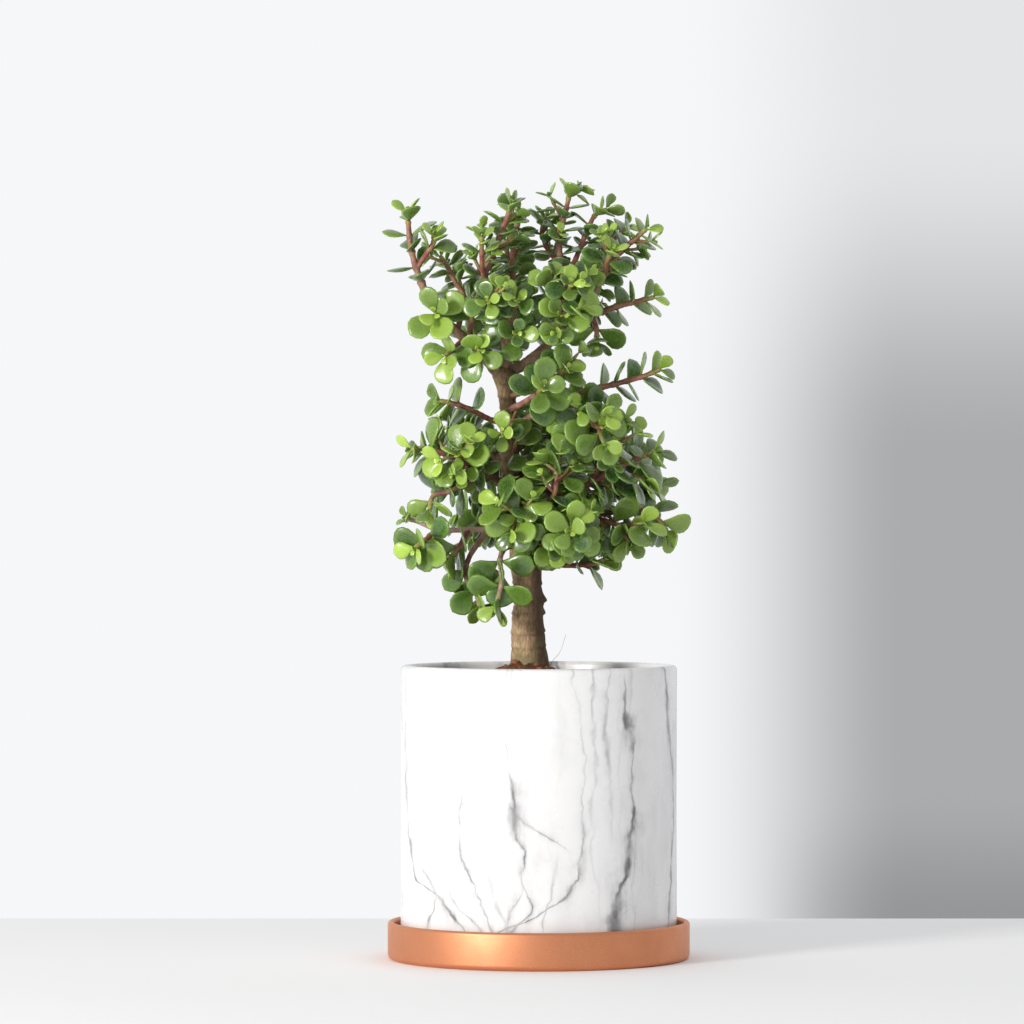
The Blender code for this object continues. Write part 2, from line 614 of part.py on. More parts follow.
def leaves_mesh(name, blades, faces, material):
    """One mesh that holds all blades of a branch."""
    points = np.vstack(blades)
    count = len(blades[0])
    all_faces = [[corner + count * i for corner in face]
                 for i in range(len(blades)) for face in faces]
    mesh = bpy.data.meshes.new(name)
    mesh.from_pydata(points.tolist(), [], all_faces)
    mesh.materials.append(material)
    return mesh


# ---------------------------------------------------------------- the plant
def make_trunk(collection, material):
    """The woody trunk, straight in the soil, knotty where branches leave, wide at the fork."""
    stem = trunk_stem()
    foot = stem.run[0] - np.array((0.0, 0.0, TRUNK_BURIED))
    marks = np.array(stem.marks)
    points, headings = along(stem.run, marks)
    points = np.vstack([foot, points])
    radii = np.concatenate([[TRUNK_DIAMETER / 2], stem.radius(marks)])
    item = tube("trunk", points, radii, TRUNK_SIDES_LEVEL, collection, material)
    return item, stem


def make_branch_wood(name, stem, leaf_places, collection, material):
    """A branch's bare wood, with a point at each leaf pair so that leaves meet its axis."""
    first_leaf = min(leaf_places)
    bare = max(2, 1 + round((first_leaf - stem.start) / BARE_STEP))
    marks = list(np.linspace(stem.start, first_leaf, bare))
    marks += sorted(leaf_places)[1:] + [stem.length]
    marks = [mark for mark, following in zip(marks, marks[1:] + [1.0])
             if following - mark > SHORTEST_STEP]
    points, headings = along(stem.run, marks)
    limb = 2 * stem.radius(0.0) > LIMB_THICKNESS * MM
    sides_level = LIMB_SIDES_LEVEL if limb else TWIG_SIDES_LEVEL
    return tube(name, points, stem.radius(marks), sides_level, collection, material)


def make_plant(collection, cutters, materials):
    """The trunk, and every branch joined with its own leaves."""
    trunk, trunk_run = make_trunk(collection, materials["bark"])
    stems = {"trunk": trunk_run}
    woods = {"trunk": trunk}
    for name, parent, share, points, thickness, pairs, spacing, *_ in BRANCHES:
        stem = branch_stem(stems[parent], share, points, thickness)
        stems[name] = stem
        woods[name] = make_branch_wood(name, stem, pair_places(stem, pairs, spacing),
                                       collection, materials["stem"])

    thicket = Thicket()
    for name, wood in woods.items():
        points = np.array([vertex.co[:] for vertex in wood.data.vertices])
        thicket.add(name, points, [list(face.vertices) for face in wood.data.polygons])
    blank = leaf_blank()
    for number, (name, *_, pairs, spacing, size, turn) in enumerate(BRANCHES):
        habit = (pairs, spacing, size, turn)
        blades = grow_leaves(number, name, stems[name], habit, thicket, blank)
        mesh = leaves_mesh(name + "_leaves", blades, blank[1], materials["leaf"])
        tool = bpy.data.objects.new(name + "_leaves", mesh)
        cutters.objects.link(tool)
        hide_cutter(tool)
        woods[name].data.materials.append(materials["leaf"])
        boolean(woods[name], tool, "UNION")


def main():
    """Clear the scene and build the whole piece."""
    for item in list(bpy.data.objects):
        bpy.data.objects.remove(item)
    plant = bpy.data.collections.new("potted_jade_plant")
    cutters = bpy.data.collections.new("cutters")
    for collection in (plant, cutters):
        bpy.context.scene.collection.children.link(collection)
    materials = {
        "copper": new_material("copper_paint", (0.72, 0.33, 0.17), 0.35, 0.9),
        "glaze": new_material("marbled_glaze", (0.90, 0.89, 0.88), 0.30),
        "soil": new_material("potting_soil", (0.24, 0.10, 0.05), 0.95),
        "bark": new_material("bark", (0.36, 0.22, 0.14), 0.85),
        "stem": new_material("stem_skin", (0.32, 0.12, 0.10), 0.60),
        "leaf": new_material("leaf_flesh", (0.13, 0.32, 0.06), 0.35),
    }
    make_saucer(plant, materials["copper"])
    make_pot(plant, materials["glaze"])
    make_soil(plant, cutters, materials["soil"])
    make_plant(plant, cutters, materials)


main()
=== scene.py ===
# %% [markdown]
# # A potted dwarf jade tree
#
# The plant is a small succulent tree: a woody trunk, branches that carry fleshy round leaves
# in opposite pairs, a marbled white cylinder pot, and a copper-painted saucer. The packed
# model already says where everything is. This lesson gives each piece its real surface.

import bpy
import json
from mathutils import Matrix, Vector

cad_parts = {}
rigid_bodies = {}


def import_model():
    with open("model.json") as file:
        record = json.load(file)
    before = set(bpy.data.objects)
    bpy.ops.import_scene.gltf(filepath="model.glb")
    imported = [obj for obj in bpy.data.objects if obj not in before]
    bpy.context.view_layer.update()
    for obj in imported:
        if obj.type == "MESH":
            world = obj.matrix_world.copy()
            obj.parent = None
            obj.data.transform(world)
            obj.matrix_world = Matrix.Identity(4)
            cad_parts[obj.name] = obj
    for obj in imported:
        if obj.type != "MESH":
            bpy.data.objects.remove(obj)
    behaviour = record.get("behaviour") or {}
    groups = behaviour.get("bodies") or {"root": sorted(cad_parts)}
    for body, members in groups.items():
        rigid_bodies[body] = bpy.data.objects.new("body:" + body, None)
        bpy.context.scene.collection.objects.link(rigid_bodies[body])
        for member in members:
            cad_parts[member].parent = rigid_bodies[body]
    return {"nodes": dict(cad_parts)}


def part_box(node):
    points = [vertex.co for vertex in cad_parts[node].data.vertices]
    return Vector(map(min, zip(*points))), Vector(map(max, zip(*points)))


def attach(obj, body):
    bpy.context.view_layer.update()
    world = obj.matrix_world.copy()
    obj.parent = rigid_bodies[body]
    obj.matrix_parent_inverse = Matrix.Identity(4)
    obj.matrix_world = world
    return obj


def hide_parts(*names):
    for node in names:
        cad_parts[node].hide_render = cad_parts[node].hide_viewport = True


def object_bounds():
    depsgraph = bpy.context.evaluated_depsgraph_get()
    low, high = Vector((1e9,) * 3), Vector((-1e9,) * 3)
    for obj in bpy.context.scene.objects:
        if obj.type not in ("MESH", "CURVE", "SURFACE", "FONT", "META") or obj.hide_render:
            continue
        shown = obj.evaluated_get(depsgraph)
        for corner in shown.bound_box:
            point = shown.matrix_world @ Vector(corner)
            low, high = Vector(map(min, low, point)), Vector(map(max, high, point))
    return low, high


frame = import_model()
cad_low, cad_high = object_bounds()
print("CAD box from", [round(v, 4) for v in cad_low], "to", [round(v, 4) for v in cad_high])

# %% Tools used all through
import json
import math
from collections import namedtuple

import bpy
import numpy as np
from mathutils import Vector
from mathutils.bvhtree import BVHTree
from mathutils.kdtree import KDTree

MM = 0.001

# %% [markdown]
# ## Camera
# A long lens two and a half metres away looks level at the plant, so that upright lines stay
# upright and the pot's rim shows as a thin ellipse. A short lens close by would bulge the pot.

# %% Camera
CAMERA_PLACE = (-0.01335, -2.475, 0.223)
CAMERA_LENS = 174.0

camera = bpy.data.objects.new("camera", bpy.data.cameras.new("camera"))
camera.data.lens = CAMERA_LENS
camera.location = CAMERA_PLACE
camera.rotation_euler = (math.radians(90), 0, 0)
bpy.context.scene.collection.objects.link(camera)
bpy.context.scene.camera = camera
print("camera is", round(-CAMERA_PLACE[1], 2), "m from the pot's axis")

# %% [markdown]
# ## Light
# One soft lamp stands at the front left, higher than the plant, and throws a blurred shadow to
# the right. A white sky fills the rest. A small hard lamp would draw sharp shadows,
# and a sky alone would leave the round leaves flat. White walls should come out white, so the
# picture uses the standard view and not the film-like one.

# %% Light and view
KEY_PLACE = (-1.65, -1.75, 0.58)
KEY_AIM = (0.0, 0.0, 0.22)
KEY_SIZE = 0.55
KEY_POWER = 45.0
KEY_COLOUR = (1.0, 0.98, 0.95)

data = bpy.data.lights.new("key_lamp", "AREA")
data.size, data.energy, data.color = KEY_SIZE, KEY_POWER, KEY_COLOUR
lamp = bpy.data.objects.new("key_lamp", data)
lamp.location = KEY_PLACE
lamp.rotation_euler = (Vector(KEY_AIM) - Vector(KEY_PLACE)).to_track_quat("-Z", "Y").to_euler()
bpy.context.scene.collection.objects.link(lamp)
bpy.context.scene.view_settings.view_transform = "Standard"
print("key lamp", KEY_POWER, "W")

# %% [markdown]
# ## Building finishes
# A finish is a node tree. Written node by node it fills pages, so a small helper adds a node,
# sets its inputs and wires it in one call. Numbers stay numbers on the shader's own sockets.

# %% A helper for finishes


class Nodes:
    """A node tree in the making: each call adds one node and returns the socket it makes."""

    def __init__(self, tree):
        self.tree = tree

    def wire(self, node, inputs):
        """Sets a node's inputs, by name or number, to values or to other nodes' sockets."""
        for key, value in inputs.items():
            if isinstance(value, bpy.types.NodeSocket):
                self.tree.links.new(value, node.inputs[key])
            else:
                node.inputs[key].default_value = value

    def node(self, kind, inputs, **settings):
        """A new node of a kind, with its settings and inputs."""
        made = self.tree.nodes.new("ShaderNode" + kind)
        for key, value in settings.items():
            setattr(made, key, value)
        self.wire(made, inputs)
        return made

    def place(self):
        """The point on the piece, in metres."""
        return self.node("TexCoord", {}).outputs["Object"]

    def read(self, attribute):
        """A number that the mesh carries on its points."""
        return self.node("Attribute", {}, attribute_name=attribute).outputs["Fac"]

    def maths(self, operation, first, second=0.0):
        """One sum on two numbers."""
        return self.node("Math", {0: first, 1: second}, operation=operation).outputs[0]

    def plus(self, first, second):
        return self.maths("ADD", first, second)

    def minus(self, first, second):
        return self.maths("SUBTRACT", first, second)

    def times(self, first, second):
        return self.maths("MULTIPLY", first, second)

    def most(self, first, second):
        return self.maths("MAXIMUM", first, second)

    def stretched(self, vector, scale):
        """A vector multiplied axis by axis."""
        return self.node("VectorMath", {0: vector, 1: scale}, operation="MULTIPLY").outputs[0]

    def noise(self, vector, scale, detail=3.0, roughness=0.5):
        """Cloudy noise between 0 and 1."""
        return self.node("TexNoise", {"Vector": vector, "Scale": scale, "Detail": detail,
                                      "Roughness": roughness}).outputs["Fac"]

    def between(self, value, low, high, to_low=0.0, to_high=1.0):
        """A number stretched from one span to another, smoothly, and held at its ends."""
        return self.node("MapRange", {"Value": value, "From Min": low, "From Max": high,
                                      "To Min": to_low, "To Max": to_high},
                         interpolation_type="SMOOTHSTEP").outputs["Result"]

    def blend(self, share, first, second):
        """Two colours mixed by a share."""
        made = self.node("Mix", {0: share}, data_type="RGBA")
        for key, value in ((6, first), (7, second)):
            if not isinstance(value, bpy.types.NodeSocket):
                value = (*value, 1.0)
            self.wire(made, {key: value})
        return made.outputs[2]


# %% A helper for materials


class Finish(Nodes):
    """A material in the making, whose shader starts with some of its sockets set."""

    def __init__(self, name, **sockets):
        self.material = bpy.data.materials.new(name)
        self.material.use_nodes = True
        super().__init__(self.material.node_tree)
        self.shader = self.tree.nodes["Principled BSDF"]
        self.wire(self.shader, {key.replace("_", " "): value for key, value in sockets.items()})

    def relief(self, height, distance, strength=1.0):
        """Fine relief of a height times a distance in metres, wired to the shader."""
        bump = self.node("Bump", {"Height": height, "Distance": distance, "Strength": strength})
        self.wire(self.shader, {"Normal": bump.outputs["Normal"]})


# %% [markdown]
# ## The sky behind
# A pale backdrop stands for the wall of the room: bright behind the plant, dimmer to the right
# where the wall lies in shade, and plain everywhere else. It is drawn on the sky by direction,
# so nothing stands in the way when the plant is looked at from behind.

# %% Sky
SKY_STRENGTH = 0.59
BACKDROP = 0.95
SHADE = 0.53
SKY_COLOUR = (0.975, 0.98, 1.0, 1.0)
# Spans of direction. Rightwards is metres to the right for each metre ahead, and up and ahead
# are parts of the direction's own length.
AHEAD = (0.05, 0.45)
SHADE_BEGINS = (0.030, 0.080)
SHADE_THINS = (0.13, 0.40)
SHADE_TOP = (0.01, 0.08)
LOW_BEGINS = (0.045, 0.065)
LOW_TOP = (-0.082, -0.055)

sky = bpy.data.worlds.new("sky")
sky.use_nodes = True
bpy.context.scene.world = sky
air = Nodes(sky.node_tree)
direction = air.node("TexCoord", {}).outputs["Generated"]
right, ahead, up = air.node("SeparateXYZ", {"Vector": direction}).outputs
rightwards = air.maths("DIVIDE", right, air.most(ahead, AHEAD[0]))
shade = air.times(air.between(rightwards, *SHADE_BEGINS),
                  air.between(rightwards, *SHADE_THINS, 1.0, 0.15))
shade = air.times(shade, air.between(up, *SHADE_TOP, 1.0, 0.28))
low_shade = air.times(air.between(rightwards, *LOW_BEGINS), air.between(up, *LOW_TOP, 0.20, 0.0))
backdrop = air.minus(BACKDROP, air.times(air.plus(shade, low_shade), SHADE))
behind = air.between(ahead, *AHEAD)
glow = air.plus(air.times(backdrop, behind), air.times(air.minus(1.0, behind), SKY_STRENGTH))
air.wire(sky.node_tree.nodes["Background"], {"Color": SKY_COLOUR, "Strength": glow})
print("sky", SKY_STRENGTH, "and backdrop", BACKDROP)


# %% [markdown]
# ## Building surfaces
# Every piece here is a skin over a grid: rings of points, carried along a path or down a
# turned profile, with a single point closing each end. The faces follow from the counts alone,
# so they're worked out once as whole arrays. Blender's own primitives could start these
# shapes too, but a grid from a formula keeps every bulge and taper a number that can change.

# %% Faces of a closed skin


def skin_faces(rings, around):
    """Faces of a skin: point 0 is the first pole, ring i's point j is 1 + i * around + j.

    Between two rings lie squares, and a fan of triangles closes each pole.
    """
    j = np.arange(around)
    following = (j + 1) % around
    i = np.arange(rings - 1)[:, None] * around + 1
    squares = np.stack([i + j, i + around + j, i + around + following, i + following], -1)
    last = 1 + rings * around
    edge = last - around
    first_fan = np.stack([0 * j, 1 + j, 1 + following], -1)
    last_fan = np.stack([0 * j + last, edge + following, edge + j], -1)
    return squares.reshape(-1, 4), np.vstack([first_fan, last_fan])


def loop_faces(rings, around):
    """Faces of a ring-shaped skin, whose last ring joins its first."""
    j = np.arange(around)
    following = (j + 1) % around
    i = np.arange(rings)[:, None] * around
    below = (i + around) % (rings * around)
    squares = np.stack([i + j, below + j, below + following, i + following], -1)
    return squares.reshape(-1, 4), np.zeros((0, 3), int)


def repeated(faces, points_each, count):
    """The same faces for each of several skins, whose points follow each other."""
    return [(kind + points_each * np.arange(count)[:, None, None]).reshape(-1, kind.shape[1])
            for kind in faces]


def add_piece(name, points, faces, material, nodes, attributes=None):
    """Makes a smooth mesh from arrays, rides it on the plant and hides the CAD nodes it stands for.
    """
    squares, triangles = faces
    mesh = bpy.data.meshes.new(name)
    mesh.from_pydata(points.reshape(-1, 3).tolist(), [], squares.tolist() + triangles.tolist())
    for key, values in (attributes or {}).items():
        mesh.attributes.new(key, "FLOAT", "POINT").data.foreach_set("value", np.ravel(values))
    mesh.shade_smooth()
    mesh.materials.append(material)
    piece = bpy.data.objects.new(name, mesh)
    bpy.context.scene.collection.objects.link(piece)
    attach(piece, "root")
    if nodes:
        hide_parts(*nodes)
    return piece


# %% [markdown]
# ## Turned pieces
# Saucer and pot are round: a profile in the half plane of radius and height, carried once
# round the upright axis. Rounded edges are arcs with many points, so the light rolls over
# them. A Screw modifier would do the same, and the array form lets the clay wobble a little.

# %% Profiles and turning
AROUND_POT = 180


def arc(centre, radius, start, stop, count=9):
    """Points on an arc about (radius, height), angles in degrees from outwards to upwards."""
    turns = np.radians(np.linspace(start, stop, count))
    return np.stack([centre[0] + radius * np.cos(turns), centre[1] + radius * np.sin(turns)], 1)


def straight(start, stop, count):
    """Evenly spaced points on a line of the profile, without its last."""
    return np.linspace(start, stop, count, endpoint=False)


def turned(profile, wobble=0.0):
    """Each profile point's radius swept round the axis: (r sin a, -r cos a, z) for turns a.

    A wobble in metres lets the radius swell and sink slowly round the piece.
    """
    turns = np.linspace(0, 2 * np.pi, AROUND_POT, endpoint=False)
    radius, height = profile[:, :1], profile[:, 1:]
    slow = np.sin(2 * turns + 0.7) + 0.6 * np.sin(3 * turns + height * 20) + np.sin(height * 45 + 1)
    radius = radius + wobble * slow * (radius > 0.03)
    return np.stack([radius * np.sin(turns), -radius * np.cos(turns),
                     height + 0 * turns], axis=-1)


# %% [markdown]
# ## The saucer's finish
# The saucer is painted with copper paint and not polished metal: it has a satin glow, small
# metal flakes, and a slightly uneven coat. Nearly full metal, rather rough, with a speckle of
# flakes looks right. A mirror-like metal would show everything round it.

# %% Copper paint
COPPER = (0.62, 0.245, 0.118)
COPPER_FLAKE = (0.80, 0.350, 0.190)
COPPER_DARK = (0.52, 0.22, 0.10)

copper = Finish("satin_copper_paint", Metallic=0.85, Roughness=0.48)
spot = copper.place()
flakes = copper.noise(spot, 4200.0, 2.0)
coat = copper.noise(spot, 60.0, 4.0)
paint = copper.blend(copper.between(flakes, 0.35, 0.75), COPPER, COPPER_FLAKE)
paint = copper.blend(copper.between(coat, 0.3, 0.7, 0.0, 0.25), paint, COPPER_DARK)
copper.wire(copper.shader, {"Base Color": paint,
                            "Roughness": copper.between(coat, 0.3, 0.7, 0.44, 0.52)})
copper.relief(flakes, 0.00003, 0.35)
print("made", copper.material.name)

# %% The saucer
SAUCER_WALL = 0.0032
SAUCER_FLOOR = 0.0040
SAUCER_CORNER = 0.0026
POT_RADIUS = 0.069
AXIS_GAP = 0.003

saucer_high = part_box("saucer")[1]
pot_low, pot_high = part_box("pot")
saucer_radius = saucer_high[0]
inner = saucer_radius - SAUCER_WALL
corner = (inner - POT_RADIUS) / 2
lip = SAUCER_WALL / 2
profile = np.vstack([
    straight((AXIS_GAP, SAUCER_FLOOR), (inner - corner, SAUCER_FLOOR), 12),
    arc((inner - corner, SAUCER_FLOOR + corner), corner, -90, 0),
    arc((inner + lip, saucer_high[2] - lip), lip, 180, 0, 13),
    arc((saucer_radius - SAUCER_CORNER, SAUCER_CORNER), SAUCER_CORNER, 0, -90),
    straight((saucer_radius - SAUCER_CORNER - 0.002, 0.0), (AXIS_GAP, 0.0), 6),
])
rings = turned(profile)
points = np.vstack([[(0, 0, SAUCER_FLOOR)], rings.reshape(-1, 3), [(0, 0, 0.0)]])
saucer = add_piece("saucer_dish", points, skin_faces(len(profile), AROUND_POT), copper.material,
                   ["saucer"])
print("saucer", len(saucer.data.polygons), "faces")

# %% [markdown]
# ## The pot's marbling
# The glaze is white with grey veins that run down the clay like smoke: a dark thread in a pale
# soft halo. Noise alone would never put the veins where this pot has them, so each vein on the
# front is a listed line of heights and turns round the pot, drawn by two curves: one says
# where the vein is at each height, the other how strong. Slow noise makes the line tremble.
# Back, sides and inside get the same smoke from stretched, ridged noise.

# %% Veins, listed
# Each vein: its reach to either side in mm, then (height above the table in mm, turn from the
# front in degrees, strength from 0 to 1), from the top down.
VEINS = [
    (1.2, [(146, 37, 0.1), (132, 38, 0.6), (118, 39, 0.9), (111, 41, 0.8), (97, 42, 0.6),
           (84, 41, 0.6), (74, 42, 1.0), (62, 41, 0.8), (46, 38, 1.0), (33, 34, 0.8),
           (14, 32, 0.9)]),
    (2.4, [(126, 39, 0.0), (121, 39, 0.9), (117, 40, 0.6), (112, 41, 0.0)]),
    (2.0, [(80, 41, 0.0), (77, 42, 1.0), (73, 42, 1.0), (69, 42, 0.0)]),
    (1.4, [(54, 40, 0.0), (47, 38, 1.0), (42, 37, 1.0), (38, 36, 0.0)]),
    (2.6, [(34, 35, 0.0), (28, 33, 0.9), (20, 32, 1.0), (14, 32, 1.0)]),
    (0.9, [(145, 64, 0.9), (115, 69, 0.8), (82, 76, 0.7), (49, 72, 0.9), (14, 67, 0.6)]),
    (0.7, [(130, -14, 0.2), (99, -13, 0.5), (90, -11, 0.7), (77, -10, 1.0), (65, -10, 0.8),
           (57, -6, 0.9), (42, -8, 0.6), (30, -3, 0.8), (22, -9, 0.8), (14, -14, 0.3)]),
    (0.8, [(120, -74, 0.2), (104, -73, 0.6), (71, -71, 0.7), (51, -65, 0.8), (42, -61, 0.9),
           (38, -54, 0.8), (33, -44, 0.7), (22, -35, 0.9), (14, -30, 0.4)]),
    (0.7, [(141, 13, 0.3), (117, 17, 0.25), (70, 18, 0.35), (52, 17, 0.6), (38, 12, 0.8),
           (30, 4, 0.7), (24, -5, 0.9), (20, -14, 0.9), (14, -24, 0.5)]),
    (0.6, [(88, -34, 0.1), (84, -34, 0.5), (62, -34, 0.6), (50, -32, 0.7), (39, -27, 0.7),
           (26, -22, 0.6), (14, -18, 0.2)]),
    (0.6, [(80, -12, 0.0), (77, -10, 0.8), (71, -5, 0.6), (66, 2, 0.6), (61, 9, 0.4),
           (56, 15, 0.0)]),
    (1.8, [(146, 22, 0.35), (102, 23, 0.25), (63, 22, 0.15), (34, 24, 0.1), (14, 25, 0.0)]),
    (1.4, [(146, 30, 0.30), (112, 28, 0.35), (82, 31, 0.2), (50, 30, 0.0), (14, 30, 0.0)]),
    (0.8, [(60, -62, 0.0), (51, -60, 0.4), (40, -50, 0.5), (30, -48, 0.6), (20, -52, 0.6),
           (14, -55, 0.3)]),
    (0.6, [(46, -46, 0.0), (38, -40, 0.5), (30, -36, 0.5), (23, -28, 0.6), (14, -20, 0.4)]),
    (0.9, [(30, 42, 0.0), (26, 36, 0.5), (20, 33, 0.9), (14, 30, 0.9)]),
    (0.6, [(40, -8, 0.0), (37, -8, 0.5), (29, -11, 0.6), (22, -13, 0.6), (14, -14, 0.3)]),
    (0.9, [(56, 8, 0.0), (48, 7, 0.25), (33, 4, 0.35), (23, 2, 0.4), (18, 1, 0.0)]),
    (0.5, [(82, -34, 0.0), (79, -32, 0.4), (74, -27, 0.4), (68, -22, 0.2), (62, -20, 0.0)]),
    (1.6, [(60, -18, 0.0), (50, -20, 0.25), (36, -18, 0.3), (24, -14, 0.4), (14, -12, 0.4)]),
]
HIGHEST = 150.0
FARTHEST = 90.0
THREAD = (0.055, 0.055, 0.058)
SMOKE = (0.34, 0.335, 0.345)
WHITE_GLAZE = (0.85, 0.85, 0.85)
NEAR_SMOKE = 1.6
FAR_SMOKE = 6.0
print(len(VEINS), "veins with", sum(len(course) for _, course in VEINS), "points")

# %% Draw the veins
glaze = Finish("marbled_glaze", Roughness=0.30, Coat_Weight=0.35, Coat_Roughness=0.16)
spot = glaze.place()
axes = glaze.node("SeparateXYZ", {"Vector": spot}).outputs
turn = glaze.maths("ARCTAN2", axes[0], glaze.times(axes[1], -1.0))
turn = glaze.maths("DIVIDE", turn, math.radians(FARTHEST))
height = glaze.maths("DIVIDE", axes[2], HIGHEST * MM)


def drawn_curve(value, points):
    """A curve node through (0 to 1, 0 to 1) points, read at a value."""
    made = glaze.node("FloatCurve", {"Value": value})
    line = made.mapping.curves[0]
    points = sorted(points)
    while len(line.points) < len(points):
        line.points.new(0.5, 0.5)
    for knot, (x, y) in zip(line.points, points):
        knot.location = (x, y)
        knot.handle_type = "AUTO"
    made.mapping.extend = "HORIZONTAL"
    made.mapping.update()
    return made.outputs["Value"]


tremble_slow = glaze.minus(glaze.noise(spot, 70.0, 2.0), 0.5)
tremble_fast = glaze.minus(glaze.noise(spot, 300.0, 3.0), 0.5)
tremble = glaze.plus(glaze.times(tremble_slow, 0.070), glaze.times(tremble_fast, 0.022))
wavy_turn = glaze.plus(turn, tremble)
patchy = glaze.between(glaze.noise(spot, 110.0, 3.0), 0.32, 0.60, 0.30, 1.0)
swelling = glaze.between(glaze.noise(spot, 75.0, 2.0), 0.32, 0.68, 0.55, 2.4)
wisps = glaze.noise(glaze.stretched(spot, (1.0, 1.0, 0.16)), 210.0, 4.0, 0.6)
wisps = glaze.between(wisps, 0.36, 0.66, 0.15, 1.0)

millimetre = MM / (POT_RADIUS * math.radians(FARTHEST))
threads, smokes = None, None
for width, course in VEINS:
    centre = drawn_curve(height, [(z / HIGHEST, a / FARTHEST / 2 + 0.5) for z, a, s in course])
    strength = drawn_curve(height, [(z / HIGHEST, s) for z, a, s in course])
    centre = glaze.minus(glaze.times(centre, 2.0), 1.0)
    off = glaze.maths("ABSOLUTE", glaze.minus(wavy_turn, centre))
    off = glaze.maths("DIVIDE", off, glaze.times(swelling, glaze.plus(strength, 0.3)))
    reach = width * millimetre
    thread = glaze.between(off, 0.0, 1.15 * reach, 1.0, 0.0)
    near = glaze.between(off, 0.0, reach + NEAR_SMOKE * millimetre, 0.75, 0.0)
    far = glaze.between(off, 0.0, reach + FAR_SMOKE * millimetre, 0.40, 0.0)
    thread = glaze.times(thread, strength)
    smoke = glaze.times(glaze.plus(near, far), strength)
    threads = thread if threads is None else glaze.most(threads, thread)
    smokes = smoke if smokes is None else glaze.most(smokes, smoke)
print("laid", len(VEINS), "veins")

# %% Smoke all round, and the finish
# Ridged noise is one minus how far noise is from its middle: thin crests where it crosses it.
drift = glaze.node("TexNoise", {"Vector": spot, "Scale": 22.0, "Detail": 3.0}).outputs["Color"]
drift = glaze.stretched(drift, (0.030, 0.030, 0.045))
flow = glaze.node("VectorMath", {0: spot, 1: drift}, operation="ADD").outputs[0]
flow = glaze.stretched(flow, (1.0, 1.0, 0.30))


def crests(scale, sharpness):
    """Ridged noise: 1 on the crest lines, falling away to either side."""
    cloud = glaze.maths("ABSOLUTE", glaze.minus(glaze.noise(flow, scale, 2.0), 0.5))
    return glaze.between(cloud, 0.0, sharpness, 1.0, 0.0)


behind = glaze.between(glaze.maths("ABSOLUTE", turn), 0.80, 1.05)
level = glaze.stretched(spot, (1.0, 1.0, 0.0))
from_axis = glaze.node("VectorMath", {0: level}, operation="LENGTH").outputs["Value"]
inside = glaze.between(from_axis, POT_RADIUS - 0.0035, POT_RADIUS - 0.0025, 1.0, 0.0)
elsewhere = glaze.most(behind, inside)
banks = glaze.noise(spot, 24.0)
wild = glaze.times(crests(26.0, 0.030), glaze.between(banks, 0.46, 0.60))
wild_smoke = glaze.times(crests(26.0, 0.13), glaze.between(banks, 0.40, 0.62))
threads = glaze.times(glaze.most(threads, glaze.times(wild, elsewhere)), patchy)
smokes = glaze.most(smokes, glaze.times(wild_smoke, elsewhere))
faint = glaze.times(crests(14.0, 0.16), glaze.between(glaze.noise(spot, 12.0), 0.36, 0.60))
streaks = glaze.noise(glaze.stretched(flow, (1.0, 1.0, 0.6)), 34.0, 4.0, 0.6)
faint = glaze.most(faint, glaze.between(streaks, 0.50, 0.74, 0.0, 0.8))
colour = glaze.blend(glaze.times(faint, 0.26), WHITE_GLAZE, SMOKE)
colour = glaze.blend(glaze.times(glaze.times(smokes, wisps), 0.85), colour, SMOKE)
colour = glaze.blend(glaze.times(threads, 0.86), colour, THREAD)
glaze.wire(glaze.shader, {"Base Color": colour,
                          "Roughness": glaze.between(patchy, 0.35, 1.0, 0.26, 0.36)})
glaze.relief(glaze.noise(spot, 90.0, 2.0), 0.0002, 0.25)
print("made", glaze.material.name, "with", len(glaze.tree.nodes), "nodes")

# %% The pot
POT_WALL = 0.0060
POT_FLOOR = 0.0090
POT_LIP = 0.0022
POT_FOOT = 0.0030
DRAIN_RADIUS = 0.008

foot, rim = pot_low[2], pot_high[2]
bore = POT_RADIUS - POT_WALL
floor_top = foot + POT_FLOOR
profile = np.vstack([
    arc((POT_RADIUS - POT_LIP, rim - POT_LIP), POT_LIP, 90, 0),
    straight((POT_RADIUS, rim - POT_LIP - 0.003), (POT_RADIUS, foot + POT_FOOT), 36),
    arc((POT_RADIUS - POT_FOOT, foot + POT_FOOT), POT_FOOT, 0, -90),
    straight((POT_RADIUS - POT_FOOT - 0.004, foot), (DRAIN_RADIUS, foot), 8),
    straight((DRAIN_RADIUS, foot), (DRAIN_RADIUS, floor_top), 4),
    straight((DRAIN_RADIUS, floor_top), (bore - POT_FOOT, floor_top), 8),
    arc((bore - POT_FOOT, floor_top + POT_FOOT), POT_FOOT, -90, 0),
    straight((bore, floor_top + POT_FOOT + 0.004), (bore, rim - POT_LIP), 16),
    arc((bore + POT_LIP, rim - POT_LIP), POT_LIP, 180, 90)[:-1],
])
pot = add_piece("marbled_pot", turned(profile, 0.00008), loop_faces(len(profile), AROUND_POT),
                glaze.material, ["pot"])
print("pot", len(pot.data.polygons), "faces")

# %% [markdown]
# ## Soil
# A reddish mix of bark crumbs and peat fills the pot and is heaped up round the trunk. The
# ground is one skin with seeded lumps. Loose crumbs lie on it as separate small stones, each
# with twenty faces, because there are hundreds of them.

